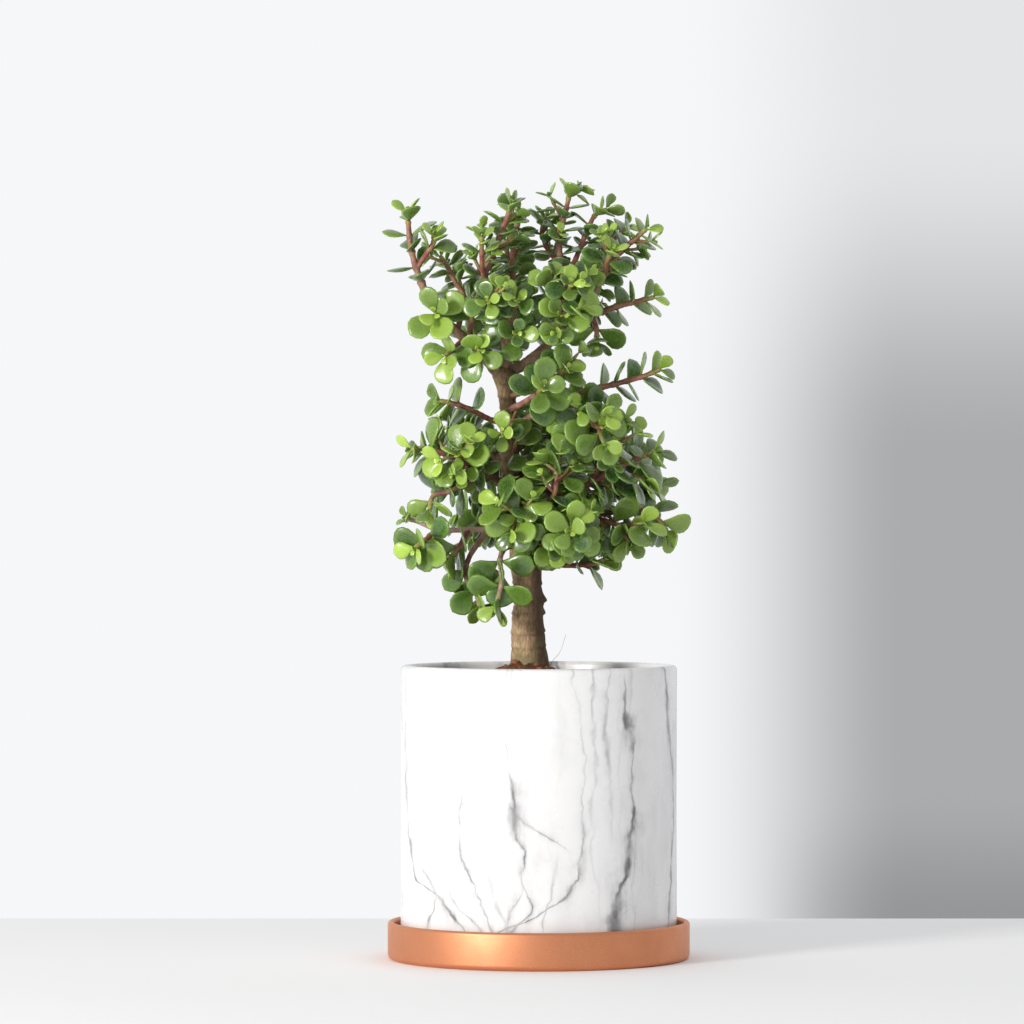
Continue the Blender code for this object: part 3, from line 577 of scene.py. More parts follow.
# %% Soil finish
soil = Finish("damp_bark_mix", Roughness=0.92)
spot = soil.place()
grains = soil.noise(spot, 900.0, 5.0, 0.7)
damp = soil.noise(spot, 120.0, 3.0)
tone = soil.read("tone")
earth = soil.blend(soil.between(grains, 0.3, 0.7), (0.060, 0.022, 0.011), (0.30, 0.105, 0.045))
earth = soil.blend(tone, earth, (0.42, 0.17, 0.075))
earth = soil.blend(soil.between(damp, 0.45, 0.75, 0.0, 0.6), earth, (0.045, 0.022, 0.014))
soil.wire(soil.shader, {"Base Color": earth})
soil.relief(grains, 0.0006, 0.8)
print("made", soil.material.name)

# %% Soil surface
TRUNK_X = -0.0043
TRUNK_BURIED = 0.030
SOIL_HEAP = 0.0097
HEAP_WIDTH = 0.0240
HEAP_SHARE = 0.78
SOIL_RINGS = 60
SOIL_EDGE = 0.004
LUMPINESS = 0.55
AROUND_SOIL = 120

soil_low, soil_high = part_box("soil")
trunk_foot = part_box("trunk")[0][2] + TRUNK_BURIED
soil_level = trunk_foot - SOIL_HEAP
soil_radius = soil_high[0]
shaker = np.random.RandomState(7)
LUMPS = np.geomspace(90, 1500, 60)
WAVES = shaker.uniform(-1, 1, (len(LUMPS), 2)) * LUMPS[:, None]
PHASES = shaker.uniform(0, 2 * np.pi, len(LUMPS))
SHARES = 0.0011 * (LUMPS[0] / LUMPS) ** 0.75


def soil_height(x, y):
    """The heap, a bell curve about the trunk, plus many small waves of seeded directions."""
    away = np.hypot(x - TRUNK_X, y) / HEAP_WIDTH
    waves = np.cos(x[..., None] * WAVES[:, 0] + y[..., None] * WAVES[:, 1] + PHASES) @ SHARES
    edge = np.clip((soil_radius - np.hypot(x, y)) / SOIL_EDGE, 0.0, 1.0)
    return soil_level + HEAP_SHARE * SOIL_HEAP * np.exp(-away ** 2) + waves * LUMPINESS * edge


radii = np.linspace(0.001, soil_radius, SOIL_RINGS)[:, None]
turns = np.linspace(0, 2 * np.pi, AROUND_SOIL, endpoint=False)
x, y = radii * np.sin(turns), -radii * np.cos(turns)
top = np.stack([x, y, soil_height(x, y)], -1)
side_radii = np.array([soil_radius, soil_radius, soil_radius - POT_FOOT, 0.02])[:, None]
side_heights = np.array([soil_level - 0.02, soil_low[2] + POT_FOOT, soil_low[2], soil_low[2]])
side = np.stack([side_radii * np.sin(turns), -side_radii * np.cos(turns),
                 side_heights[:, None] + 0 * turns], -1)
centre = soil_height(np.zeros(1), np.zeros(1))[0]
points = np.vstack([[(0, 0, centre)], top.reshape(-1, 3), side.reshape(-1, 3),
                    [(0, 0, soil_low[2])]])
add_piece("soil_bed", points, skin_faces(SOIL_RINGS + 4, AROUND_SOIL), soil.material,
          ["soil"], {"tone": np.zeros(len(points))})
print("soil lies at", round(soil_level / MM, 1), "mm")

# %% Crumbs on the soil
CRUMBS = 900
HEAPED_CRUMBS = 220
GOLDEN = (1 + 5 ** 0.5) / 2


def icosahedron():
    """The twelve corners and twenty faces of a stone's rough form."""
    a, b = 1.0, GOLDEN
    corners = np.array([(0, s * a, t * b) for s in (-1, 1) for t in (-1, 1)]
                       + [(s * a, t * b, 0) for s in (-1, 1) for t in (-1, 1)]
                       + [(t * b, 0, s * a) for s in (-1, 1) for t in (-1, 1)], float)
    gaps = np.linalg.norm(corners[:, None] - corners, axis=2)
    near = (gaps > 0) & (gaps < 2.1)
    trios = np.array([(i, j, k) for i in range(12) for j in range(i) for k in range(j)
                      if near[i, j] and near[j, k] and near[i, k]])
    normal = np.cross(corners[trios[:, 1]] - corners[trios[:, 0]],
                      corners[trios[:, 2]] - corners[trios[:, 0]])
    wrong = (normal * corners[trios].mean(axis=1)).sum(axis=1) < 0
    trios[wrong] = trios[wrong][:, ::-1]
    return corners / np.linalg.norm(corners[0]), trios


stone, stone_faces = icosahedron()
spread = soil_radius * 0.97 * np.sqrt(shaker.uniform(0, 1, CRUMBS))
spread[:HEAPED_CRUMBS] = 0.010 + 0.016 * np.sqrt(shaker.uniform(0, 1, HEAPED_CRUMBS))
angle = shaker.uniform(0, 2 * np.pi, CRUMBS)
x = spread * np.sin(angle) + TRUNK_X * (spread < 0.03)
y = spread * np.cos(angle)
size = 0.0006 + 0.0014 * shaker.uniform(0, 1, CRUMBS) ** 3
shape = stone * (1 + 0.28 * shaker.uniform(-1, 1, (CRUMBS, 12, 1)))
shape = shape * shaker.uniform(0.6, 1.3, (CRUMBS, 1, 3)) * size[:, None, None]
shape[..., 2] *= 0.7
ground = np.stack([x, y, soil_height(x, y) + 0.2 * size], -1)
tone = np.repeat(shaker.uniform(0, 1, CRUMBS) ** 2 * 0.9, 12)
no_squares = np.zeros((0, 4), int)
add_piece("soil_crumbs", shape + ground[:, None, :],
          repeated((no_squares, stone_faces), 12, CRUMBS), soil.material,
          [], {"tone": tone})
print(CRUMBS, "crumbs, the largest", round(size.max() / MM * 2, 1), "mm across")

# %% [markdown]
# ## How the plant grows
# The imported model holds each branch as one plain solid. To put fine leaves exactly where its
# plain ones are, this script follows the same habit: the same routes in millimetres from the
# trunk's foot, the same leaf pairs turned a quarter from one to the next, the same seeded
# variation. Guessing leaf places by scattering would be shorter, but fine and plain model
# would then disagree.

# %% Habit of the plant
CURVE_SAMPLES = 12
HAIR = 1e-4
TWIG_TIP_DIAMETER = 0.0022
TRUNK_DIAMETER = 0.0165
CLEARANCE = 0.0003
LEAF_LENGTH = 0.0150
LEAF_THICKNESS = 0.0022

# Trunk: point (right, back, up) in mm, and its thickness there as a share of its diameter.
TRUNK = [
    ((0, 0, 0), 1.00), ((-1, 0, 18), 0.98), ((-1, 0, 38), 0.84), ((-2, 0, 50), 0.94),
    ((-4, 0, 65), 0.80), ((-7, 0, 80), 0.74), ((-9, 0, 92), 0.66), ((-10, 0, 108), 0.55),
    ((-11, 0, 128), 0.50), ((-12, 0, 138), 0.54), ((-13, 0, 149), 0.90),
]
print("the trunk is", TRUNK[-1][0][2], "mm high at its fork")

# %% Habit of the branches
# Branches: name, parent, share of the parent's length where it leaves, points, thickness at
# its base in mm, leaf pairs, spacing of the pairs in mm, leaf size, turn of the tip pair.
Branch = namedtuple("Branch", "name parent share points thickness pairs spacing size turn")
BRANCHES = [Branch(*habit) for habit in [
    # the crown's left arm and what it carries
    ("crown_left", "trunk", 0.95,
     [(-26, -5, 158), (-37, -9, 167), (-47, -12, 178), (-53, -14, 188), (-59, -16, 207),
      (-61, -17, 226)], 6.4, 6, 8.0, 0.92, 0),
    ("crown_left_twig", "crown_left", 0.72,
     [(-52, -20, 204), (-48, -23, 210), (-48, -24, 214)], 2.8, 3, 5.0, 0.85, 10),
    ("crown_left_back", "crown_left", 0.35,
     [(-33, -2, 183), (-38, 0, 193), (-43, 2, 202), (-45, 3, 205)], 3.0, 4, 7.0, 0.80, 40),
    ("crown_left_front", "crown_left", 0.46,
     [(-46, -20, 174), (-47, -27, 175)], 3.0, 3, 4.0, 1.15, 30),
    ("crown_left_low", "crown_left", 0.30,
     [(-39, -16, 157), (-42, -21, 154)], 3.0, 3, 4.0, 1.05, 0),
    ("crown_left_under", "crown_left", 0.17,
     [(-25, -20, 156), (-25, -29, 157)], 3.0, 3, 4.0, 1.05, 60),
    ("crown_left_spur", "crown_left", 0.24,
     [(-30, -14, 167), (-29, -17, 173), (-32, -18, 179)], 3.0, 3, 5.0, 0.85, 0),
    # the crown's middle stems
    ("crown_middle", "trunk", 1.00,
     [(-12, -2, 160), (-13, -4, 172), (-17, -8, 184), (-23, -12, 193), (-19, -13, 203),
      (-15, -14, 214), (-9, -14, 230)], 5.4, 7, 7.0, 0.82, 20),
    ("crown_middle_twig", "crown_middle", 0.55,
     [(-24, -20, 201), (-24, -24, 209), (-24, -26, 213)], 2.8, 3, 5.5, 0.72, 0),
    ("crown_middle_tall", "crown_middle", 0.27,
     [(-10, 1, 187), (-9, 2, 200), (-8, 2, 213), (-5, 2, 225)], 3.6, 7, 6.5, 0.76, 0),
    ("crown_middle_face", "crown_middle", 0.35,
     [(-20, -24, 180), (-21, -36, 181)], 3.0, 4, 4.0, 0.80, 20),
    ("crown_middle_heart", "crown_middle", 0.22,
     [(-8, -16, 176), (-7, -34, 181)], 3.0, 4, 4.5, 0.80, 50),
    ("crown_middle_low", "crown_middle", 0.14,
     [(-9, -16, 163), (-7, -30, 165)], 2.8, 3, 5.0, 0.90, 80),
    # the crown's right arm
    ("crown_right", "trunk", 0.97,
     [(0, 4, 153), (9, 8, 161), (17, 9, 170), (30, 6, 175), (45, 0, 180), (62, -4, 184)],
     5.8, 6, 8.0, 0.88, 60),
    ("crown_right_low", "crown_right", 0.62,
     [(33, -4, 169), (33, -8, 161)], 2.8, 3, 5.0, 1.00, 0),
    ("crown_upper", "crown_right", 0.40,
     [(21, 8, 179), (33, 2, 189), (41, -3, 202), (50, -6, 211), (58, -8, 218)],
     4.6, 7, 6.5, 0.85, 30),
    ("crown_upper_mid", "crown_upper", 0.55,
     [(38, -12, 201), (41, -16, 207)], 2.6, 3, 5.0, 0.90, 0),
    ("crown_dome", "crown_upper", 0.20,
     [(18, 6, 191), (15, 5, 204), (15, 4, 217), (18, 4, 228), (20, 4, 238)],
     3.6, 8, 6.0, 0.78, 0),
    ("crown_dome_left", "crown_dome", 0.39,
     [(10, 10, 207), (6, 12, 217), (8, 12, 225)], 2.8, 4, 6.0, 0.78, 20),
    ("crown_dome_right", "crown_dome", 0.23,
     [(23, 10, 204), (27, 12, 214), (32, 12, 225), (36, 12, 228)], 3.0, 5, 6.5, 0.78, 10),
    ("crown_dome_back", "crown_right", 0.51,
     [(30, 20, 191), (35, 24, 208), (42, 26, 214), (49, 27, 221)], 3.4, 6, 7.0, 0.85, 45),
    ("crown_face", "crown_right", 0.34,
     [(16, -16, 177), (19, -30, 185), (20, -40, 189)], 3.2, 5, 5.0, 0.80, 0),
    ("crown_face_left", "crown_face", 0.63,
     [(11, -26, 185), (7, -30, 190)], 2.4, 3, 4.0, 0.90, 30),
    ("crown_face_low", "crown_face", 0.27,
     [(15, -24, 172), (16, -33, 174)], 2.6, 3, 4.5, 1.05, 70),
    # the crown's back
    ("crown_back_left", "crown_left", 0.17,
     [(-28, 16, 166), (-32, 32, 182), (-38, 38, 200)], 3.6, 5, 8.0, 1.00, 0),
    ("crown_back", "trunk", 0.94,
     [(-10, 14, 158), (-9, 30, 176), (-11, 38, 197), (-12, 36, 215)], 5.0, 7, 8.0, 0.95, 45),
    ("crown_back_right", "crown_back", 0.31,
     [(5, 36, 179), (18, 42, 192), (30, 44, 204)], 3.6, 5, 8.0, 1.00, 0),
    # round the collar of the trunk
    ("collar_right", "trunk", 0.90,
     [(0, -14, 138), (11, -26, 143), (18, -32, 147)], 3.4, 4, 5.0, 1.00, 20),
    ("collar_front", "trunk", 0.86,
     [(-5, -20, 130), (3, -36, 135), (6, -44, 138)], 3.8, 4, 5.0, 1.15, 0),
    ("collar_small", "trunk", 0.76,
     [(-13, -16, 115), (-14, -26, 116)], 2.6, 3, 4.0, 0.80, 0),
    # the middle tier
    ("middle_left_high", "trunk", 0.81,
     [(-20, -6, 123), (-30, -12, 128), (-39, -16, 131), (-45, -18, 132)], 3.2, 4, 7.0, 1.00, 30),
    ("right_high", "trunk", 0.79,
     [(5, -4, 127), (22, -6, 135), (40, -7, 140), (55, -8, 144), (65, -8, 148)],
     4.2, 6, 7.0, 0.95, 45),
    ("right_high_front", "right_high", 0.44,
     [(25, -20, 126), (31, -30, 120), (36, -34, 118)], 3.2, 4, 5.0, 1.15, 0),
    ("right_long", "trunk", 0.62,
     [(10, -8, 87), (25, -14, 89), (40, -18, 97), (52, -20, 103), (62, -20, 107)],
     4.6, 6, 7.5, 1.15, 20),
    ("right_long_low", "right_long", 0.70,
     [(49, -18, 95), (57, -20, 92)], 2.6, 3, 5.0, 1.15, 0),
    ("right_long_up", "right_long", 0.54,
     [(35, -22, 102), (41, -24, 108), (43, -24, 113)], 2.8, 3, 5.0, 1.15, 0),
    ("right_back", "trunk", 0.66,
     [(8, 12, 102), (28, 20, 105), (48, 24, 98), (63, 22, 90)], 4.2, 6, 8.0, 1.20, 0),
    ("right_low", "trunk", 0.49,
     [(15, 2, 75), (35, 4, 76), (53, 2, 78), (64, -2, 73), (67, -4, 67)], 4.4, 6, 8.0, 1.15, 30),
    ("right_low_inner", "right_low", 0.42,
     [(39, -8, 72), (49, -12, 68)], 2.8, 3, 6.0, 1.20, 0),
    ("front_spray", "trunk", 0.57,
     [(2, -18, 80), (11, -26, 84), (13, -28, 93), (13, -28, 100)], 3.6, 4, 6.0, 1.15, 0),
    ("front_heart", "trunk", 0.49,
     [(-5, -18, 74), (-6, -32, 75)], 3.2, 4, 4.5, 1.15, 20),
    ("front_right", "trunk", 0.44,
     [(7, -18, 65), (19, -32, 68), (23, -38, 71)], 3.6, 4, 5.0, 1.05, 60),
    ("lowest_right", "trunk", 0.34,
     [(8, 0, 51), (20, -2, 50), (31, -5, 51), (37, -8, 53)], 3.2, 4, 6.0, 0.95, 0),
    ("middle_left", "trunk", 0.60,
     [(-20, -6, 94), (-30, -12, 99), (-41, -18, 105), (-52, -20, 108), (-59, -20, 108)],
     4.4, 6, 7.0, 1.05, 0),
    ("middle_left_front", "middle_left", 0.45,
     [(-34, -24, 103), (-36, -32, 106)], 2.8, 3, 4.0, 1.10, 0),
    ("middle_left_low", "middle_left", 0.28,
     [(-30, -14, 92), (-40, -18, 87), (-48, -18, 85), (-50, -20, 78)], 2.8, 6, 6.5, 1.00, 0),
    # the low tier
    ("left_long", "trunk", 0.45,
     [(-15, -6, 68), (-30, -10, 68), (-45, -12, 68), (-56, -14, 72), (-62, -14, 74)],
     3.6, 2, 4.0, 0.60, 0),
    ("left_long_drop", "left_long", 0.73,
     [(-52, -22, 63), (-57, -26, 59)], 2.8, 4, 4.5, 1.10, 0),
    ("left_long_under", "left_long", 0.46,
     [(-35, -14, 60), (-40, -14, 53)], 2.8, 4, 5.0, 1.10, 0),
    ("lowest_left", "left_long", 0.30,
     [(-30, -8, 55), (-32, -12, 45), (-27, -16, 37), (-25, -18, 30)], 3.0, 5, 6.5, 0.95, 0),
    ("front_drop", "trunk", 0.40,
     [(-12, -14, 59), (-15, -24, 53), (-14, -30, 43), (-17, -30, 30)], 3.2, 5, 7.0, 1.10, 0),
    # the middle tier's back
    ("back_left", "trunk", 0.69,
     [(-18, 18, 105), (-30, 34, 113), (-42, 42, 124)], 4.2, 6, 7.0, 1.00, 0),
    ("back_right", "trunk", 0.71,
     [(0, 20, 113), (13, 38, 121), (28, 46, 131)], 4.2, 6, 7.0, 1.00, 0),
    ("back_low", "trunk", 0.52,
     [(-10, 20, 79), (-20, 36, 75), (-31, 46, 73)], 3.8, 5, 8.0, 1.05, 0),
    ("back_low_right", "trunk", 0.49,
     [(5, 18, 74), (15, 34, 70), (28, 44, 65)], 3.8, 5, 8.0, 1.05, 0),
]]

print(len(BRANCHES), "branches")

# %% Habit of the leaves
# Counted from the tip: size and lean from the stem settle from the third pair on.
LEAF_SIZES = (0.66, 0.90, 1.0)
LEAF_LEANS = (40.0, 56.0, 66.0)
PAIR_GAPS = (0.60, 0.85, 1.0)
LEAF_WIDTH = 0.84
LEAF_WAIST = 0.26
LEAF_SHOULDER = 0.8
LEAF_CUP = 0.05
LEAF_ROOT = 0.45
LIGHT = np.array((-0.42, -0.62, 0.66))
OUTWARD = 0.8
OUTWARD_CORE = 0.010
SIDEWAYS = 0.75
FACE_LIGHT = (0.58, 0.22)
FLATTEN = (0.42, 0.20)
PLANT_HEIGHT = 0.243
VARIATION = np.array((0.07, 11.0, 9.0, 0.18))
SWINGS = (0, 14, -14, 28, -28, 44, -44, 60, -60, 78, -78)
LEANS = (0, 14, -14, 28, -28)
SIZES = (1.0, 0.86, 0.72, 0.58, 0.44, 0.32)
print("a leaf is", LEAF_LENGTH / MM, "mm long,", round(LEAF_LENGTH * LEAF_WIDTH / MM, 1), "wide")

# %% Runs of wood


def place(point):
    """A drawn point, in metres."""
    return np.array((TRUNK_X, 0.0, trunk_foot)) + MM * np.array(point, float)


def smooth_run(points):
    """A Catmull-Rom curve: each span a cubic through its ends, headed by their neighbours."""
    points = np.array(points, dtype=float)
    ends = np.vstack([2 * points[0] - points[1], points, 2 * points[-1] - points[-2]])
    steps = np.linspace(0.0, 1.0, CURVE_SAMPLES, endpoint=False)[:, None]
    spans = []
    for a, b, c, d in zip(ends, ends[1:], ends[2:], ends[3:]):
        spans.append(0.5 * (2 * b + (c - a) * steps + (2 * a - 5 * b + 4 * c - d) * steps ** 2
                            + (3 * b - a - 3 * c + d) * steps ** 3))
    return np.vstack(spans + [points[-1:]])


def unit(vector):
    """Vectors at length one."""
    return vector / np.linalg.norm(vector, axis=-1, keepdims=True)


class Stem:
    """A trunk or branch: its smooth run, and its radius anywhere along it.

    The radii are one for each point, or two for a stem that tapers evenly.
    """

    def __init__(self, points, radii):
        self.run = smooth_run(points)
        steps = np.linalg.norm(np.diff(self.run, axis=0), axis=1)
        self.lengths = np.concatenate([[0.0], np.cumsum(steps)])
        self.length = self.lengths[-1]
        each = len(radii) == len(points)
        self.marks = self.lengths[::CURVE_SAMPLES] if each else [0.0, self.length]
        self.radii = radii

    def radius(self, distance):
        return np.interp(distance, self.marks, self.radii)

    def along(self, distance):
        """Points and headings at distances from the start."""
        distance = np.atleast_1d(distance)

        def point(at):
            return np.stack([np.interp(at, self.lengths, self.run[:, i]) for i in range(3)], 1)

        ahead = point(np.minimum(distance + HAIR, self.length))
        behind = point(np.maximum(distance - HAIR, 0.0))
        return point(distance), unit(ahead - behind)


# %% Grow the wood


def grow_branch(branch, parent):
    """A branch's run from its parent's axis, and where it comes out of the parent's bark."""
    leaves_at = branch.share * parent.length
    root, heading = parent.along(leaves_at)
    root = root[0]
    radius = branch.thickness * MM / 2
    stem = Stem([root] + [place(point) for point in branch.points],
                [radius, TWIG_TIP_DIAMETER / 2])
    level = abs(float(unit(place(branch.points[0]) - root) @ heading[0]))
    slant = math.sqrt(max(1.0 - level * level, HAIR))
    bark = float(parent.radius(leaves_at))
    bark = max(parent.radius(leaves_at + bark * np.array((-1.0, 0.0, 1.0))))
    side_exit = (bark + CLEARANCE + radius * level) / slant
    end_exit = (1.0 - branch.share) * parent.length + CLEARANCE + radius * slant
    end_exit = end_exit / max(level, HAIR)
    stem.start = min(side_exit, end_exit)
    return stem


def pair_places(stem, pairs, spacing):
    """Distances along a branch of its leaf pairs, the tip pair first."""
    gaps = [PAIR_GAPS[min(i, len(PAIR_GAPS) - 1)] * spacing * MM for i in range(pairs - 1)]
    back = np.concatenate([[0.0], np.cumsum(gaps)])
    room = stem.length - stem.start - 2 * stem.radius(0.0)
    return stem.length - stem.radius(stem.length) * LEAF_ROOT - back * min(1.0, room / back[-1])


stems = {"trunk": Stem([place(point) for point, share in TRUNK],
                       [share * TRUNK_DIAMETER / 2 for point, share in TRUNK])}
for branch in BRANCHES:
    stem = grow_branch(branch, stems[branch.parent])
    stem.pairs = pair_places(stem, branch.pairs, branch.spacing)
    stems[branch.name] = stem
print("wood runs", round(sum(stem.length for stem in stems.values()), 2), "m in all")

# %% Leaf attitudes


def leaf_frame(stem, place_, angle, lean, facing):
    """A leaf's root and its length, breadth and face directions.

    It leans out from the stem at the given angles, then turns to the light and outwards.
    """
    point, heading = stem.along(place_)
    point, heading = point[0], heading[0]
    aim = stem.run[-1] - stem.run[0]
    level_run = abs(aim[0]) < SIDEWAYS * np.linalg.norm(aim)
    guide = np.array((1.0, 0.0, 0.0)) if level_run else np.array((0.0, 0.0, 1.0))
    side = unit(guide - (guide @ heading) * heading)
    across = np.cross(heading, side)
    turn = math.radians(angle)
    out = math.cos(turn) * side + math.sin(turn) * across
    tilt = math.radians(lean)
    length = math.cos(tilt) * heading + math.sin(tilt) * out
    root = point + out * LEAF_ROOT * stem.radius(place_)
    outward = np.array((root[0] - TRUNK_X, root[1], 0.0))
    light = unit(LIGHT + OUTWARD * outward / max(np.linalg.norm(outward), OUTWARD_CORE))
    rise = (root[2] - soil_level) / PLANT_HEIGHT
    facing += np.interp(rise, (0.0, 1.0), FACE_LIGHT)
    length = unit(length - np.interp(rise, (0.0, 1.0), FLATTEN) * (length @ light) * light)
    face = unit(heading - (heading @ length) * length)
    sun = unit(light - (light @ length) * length)
    face = unit((1.0 - facing) * face + facing * sun)
    face = unit(face - (face @ length) * length)
    return root, length, np.cross(face, length), face


def lens_points(corners, attitude, length):
    """The unit lens bent into a leaf: a waisted, slightly cupped oval along its midrib."""
    root, along_, breadth, face = attitude
    x, y, z = corners.T
    reach = length * ((x + 1.0) / 2.0) ** LEAF_SHOULDER
    half = length * LEAF_WIDTH / 2 * (1.0 + LEAF_WAIST * x) / (1.0 + LEAF_WAIST / 2)
    depth = LEAF_THICKNESS / 2 * (length / LEAF_LENGTH) ** 0.5
    return (root + reach[:, None] * along_ + (half * y)[:, None] * breadth
            + (depth * z + LEAF_CUP * length * y ** 2)[:, None] * face)


def tries():
    """Every way a crowded leaf may give way, the least change first."""
    for size in SIZES:
        options = [(abs(swing) + abs(lean), swing, lean) for swing in SWINGS for lean in LEANS]
        for _, swing, lean in sorted(options):
            yield size, swing, lean


print(sum(1 for _ in tries()), "ways for a crowded leaf to give way")

# %% The plain leaf
# Six corners round the rim, and the two that bulge. The root's corner is hidden in the stem.
around = np.radians(np.arange(0, 360, 60))
LENS = np.vstack([np.stack([np.cos(around), np.sin(around), 0 * around], 1),
                  [(0, 0, 1), (0, 0, -1)]])
LENS = np.round(LENS, 6)
OUTER = LENS[[0, 1, 5, 6, 7]]
FITS = 5e-5


def leaf_as_built(corners_found, stem, place_, angle, lean, facing, length):
    """The first way of giving way whose corners are corners of the plain solid."""
    best = (math.inf, None, None)
    for size, swing, extra_lean in tries():
        attitude = leaf_frame(stem, place_, angle + swing, lean + extra_lean, facing)
        places = lens_points(OUTER, attitude, length * size)
        miss = max(corners_found.find(point)[2] for point in places)
        if miss < best[0]:
            best = (miss, attitude, length * size)
        if miss < FITS:
            break
    return best


def corner_finder(node):
    """A search tree of a CAD node's corners."""
    corners = frame["nodes"][node].data.vertices
    finder = KDTree(len(corners))
    for number, corner in enumerate(corners):
        finder.insert(corner.co, number)
    finder.balance()
    return finder


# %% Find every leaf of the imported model
# Each leaf: its attitude, its length, its pair counted from the tip.
leaves = {}
worst = 0.0
for number, branch in enumerate(BRANCHES):
    varied = np.random.RandomState(number).uniform(-1, 1, (branch.pairs, 2, 4)) * VARIATION
    finder, stem = corner_finder(branch.name), stems[branch.name]
    leaves[branch.name] = []
    for index, place_ in enumerate(stem.pairs):
        age = min(index, len(LEAF_SIZES) - 1)
        for side in (0, 1):
            bigger, swing, lean, facing = varied[index, side]
            length = LEAF_LENGTH * branch.size * LEAF_SIZES[age] * (1.0 + bigger)
            miss, attitude, length = leaf_as_built(
                finder, stem, place_, branch.turn + 90 * index + 180 * side + swing,
                LEAF_LEANS[age] + lean, facing, length)
            worst = max(worst, miss)
            leaves[branch.name].append((attitude, length, index))
print(sum(map(len, leaves.values())), "leaves found, the worst", round(worst / MM, 3), "mm off")

# %% [markdown]
# ## Side shoots
# A real branch isn't bare between its pairs: buds in the leaf corners push out short shoots
# with up to three pairs of small leaves, which is what makes the crown dense. They're grown
# here only where there is room, tested with the plain lens of each leaf against all others.

# %% Room for a leaf
LENS_FACES = [(6, i, (i + 1) % 6) for i in range(6)] + [(7, (i + 1) % 6, i) for i in range(6)]
BOX_FACES = [(0, 1, 3, 2), (4, 6, 7, 5), (0, 4, 5, 1), (2, 3, 7, 6), (0, 2, 6, 4), (1, 5, 7, 3)]
BOX_STEP = 0.006
FREE_FROM, FREE_TO = 0.16, 1.06


class Thicket:
    """Everything a new leaf must keep clear of."""

    def __init__(self):
        self.items = []

    def add(self, points, faces=LENS_FACES):
        tree = BVHTree.FromPolygons([Vector(point) for point in points], faces)
        self.items.append((points.min(axis=0), points.max(axis=0), tree))

    def settle(self, found):
        """Adds leaves, each given as attitude, length and pair."""
        for attitude, length, _ in found:
            self.add(lens_points(LENS, attitude, length))

    def blocks(self, points):
        """Whether a leaf of these points would stick out of the CAD box or touch something."""
        low, high = points.min(axis=0), points.max(axis=0)
        if (low < cad_low).any() or (high > cad_high).any():
            return True
        tree = None
        for other_low, other_high, other in self.items:
            if (low > other_high).any() or (high < other_low).any():
                continue
            if tree is None:
                tree = BVHTree.FromPolygons([Vector(point) for point in points], LENS_FACES)
            if tree.overlap(other):
                return True
        return False


def grown_lens(attitude, length):
    """A leaf's test shape: a bit longer than the leaf, and starting a bit off its stem."""
    root, along_, breadth, face = attitude
    moved = (root + along_ * length * FREE_FROM, along_, breadth, face)
    return lens_points(LENS, moved, length * (FREE_TO - FREE_FROM))


thicket = Thicket()
for found in leaves.values():
    thicket.settle(found)
for stem in stems.values():
    marks = np.arange(0.0, stem.length, BOX_STEP)
    spots, headings = stem.along(marks)
    ahead, _ = stem.along(np.minimum(marks + BOX_STEP, stem.length))
    side = unit(np.cross(headings, (0.31, 0.73, 0.61)))
    other = np.cross(headings, side)
    for a, b, s, t, r in zip(spots, ahead, side, other, stem.radius(marks)):
        thicket.add(np.array([end + r * (p * s + q * t) for end in (a, b) for p in (-1, 1)
                              for q in (-1, 1)]), BOX_FACES)
print(len(thicket.items), "things to keep clear of")

# %% One shoot
SHOOT_TURNS = (0, 180, 90, 270, 45, 225, 135, 315)
SHOOT_REACH = (0.004, 0.012)
SHOOT_LEAF = (0.62, 1.0)
SHOOT_LEAN = 52.0
SHOOT_RADII = (0.0010, 0.0007)
SHOOT_KNEE = 0.4
SHOOT_RISE = 0.15
# Pairs of a shoot: share of its length, quarter turn, leaf size, pair counted from its tip.
SHOOT_PAIRS = [(1.0, 0, 0.72, 0), (0.74, 90, 0.95, 1), (0.44, 0, 1.0, 2)]
LEAST_LEAVES = 3
print("a shoot is", [round(reach / MM) for reach in SHOOT_REACH], "mm long")
shoots = {name: [] for name in leaves}
chooser = np.random.RandomState(11)


def grow_shoot(stem, place_, turn, reach, leaf):
    """A short shoot with up to three pairs of leaves, and those of them that have room."""
    point, heading = stem.along(place_)
    root, out, _, _ = leaf_frame(stem, place_, turn, SHOOT_LEAN, 0.0)
    tip = root + out * reach
    shoot = Stem([point[0], root + out * reach * SHOOT_KNEE,
                  tip + heading[0] * reach * SHOOT_RISE], SHOOT_RADII)
    grown = []
    for at, quarter, share, index in SHOOT_PAIRS:
        for side in (0, 180):
            attitude = leaf_frame(shoot, shoot.length * at, turn + quarter + side,
                                  LEAF_LEANS[index], 0.0)
            if not thicket.blocks(grown_lens(attitude, leaf * share)):
                grown.append((attitude, leaf * share, index))
    return shoot, grown


def grow_shoots(name, stem, spots, leaf, most):
    """Shoots at places along a stem, each in the first direction where enough leaves fit."""
    for place_ in spots:
        made = 0
        lengths = chooser.uniform(*SHOOT_REACH, len(SHOOT_TURNS))
        leafy = leaf * chooser.uniform(*SHOOT_LEAF, len(SHOOT_TURNS))
        start = chooser.uniform(0, 90)
        for turn, reach, size in zip(SHOOT_TURNS, lengths, leafy):
            if made == most:
                break
            shoot, grown = grow_shoot(stem, place_, start + turn, reach, size)
            if len(grown) >= LEAST_LEAVES:
                shoots[name].append(shoot)
                leaves[name].extend(grown)
                thicket.settle(grown)
                made += 1


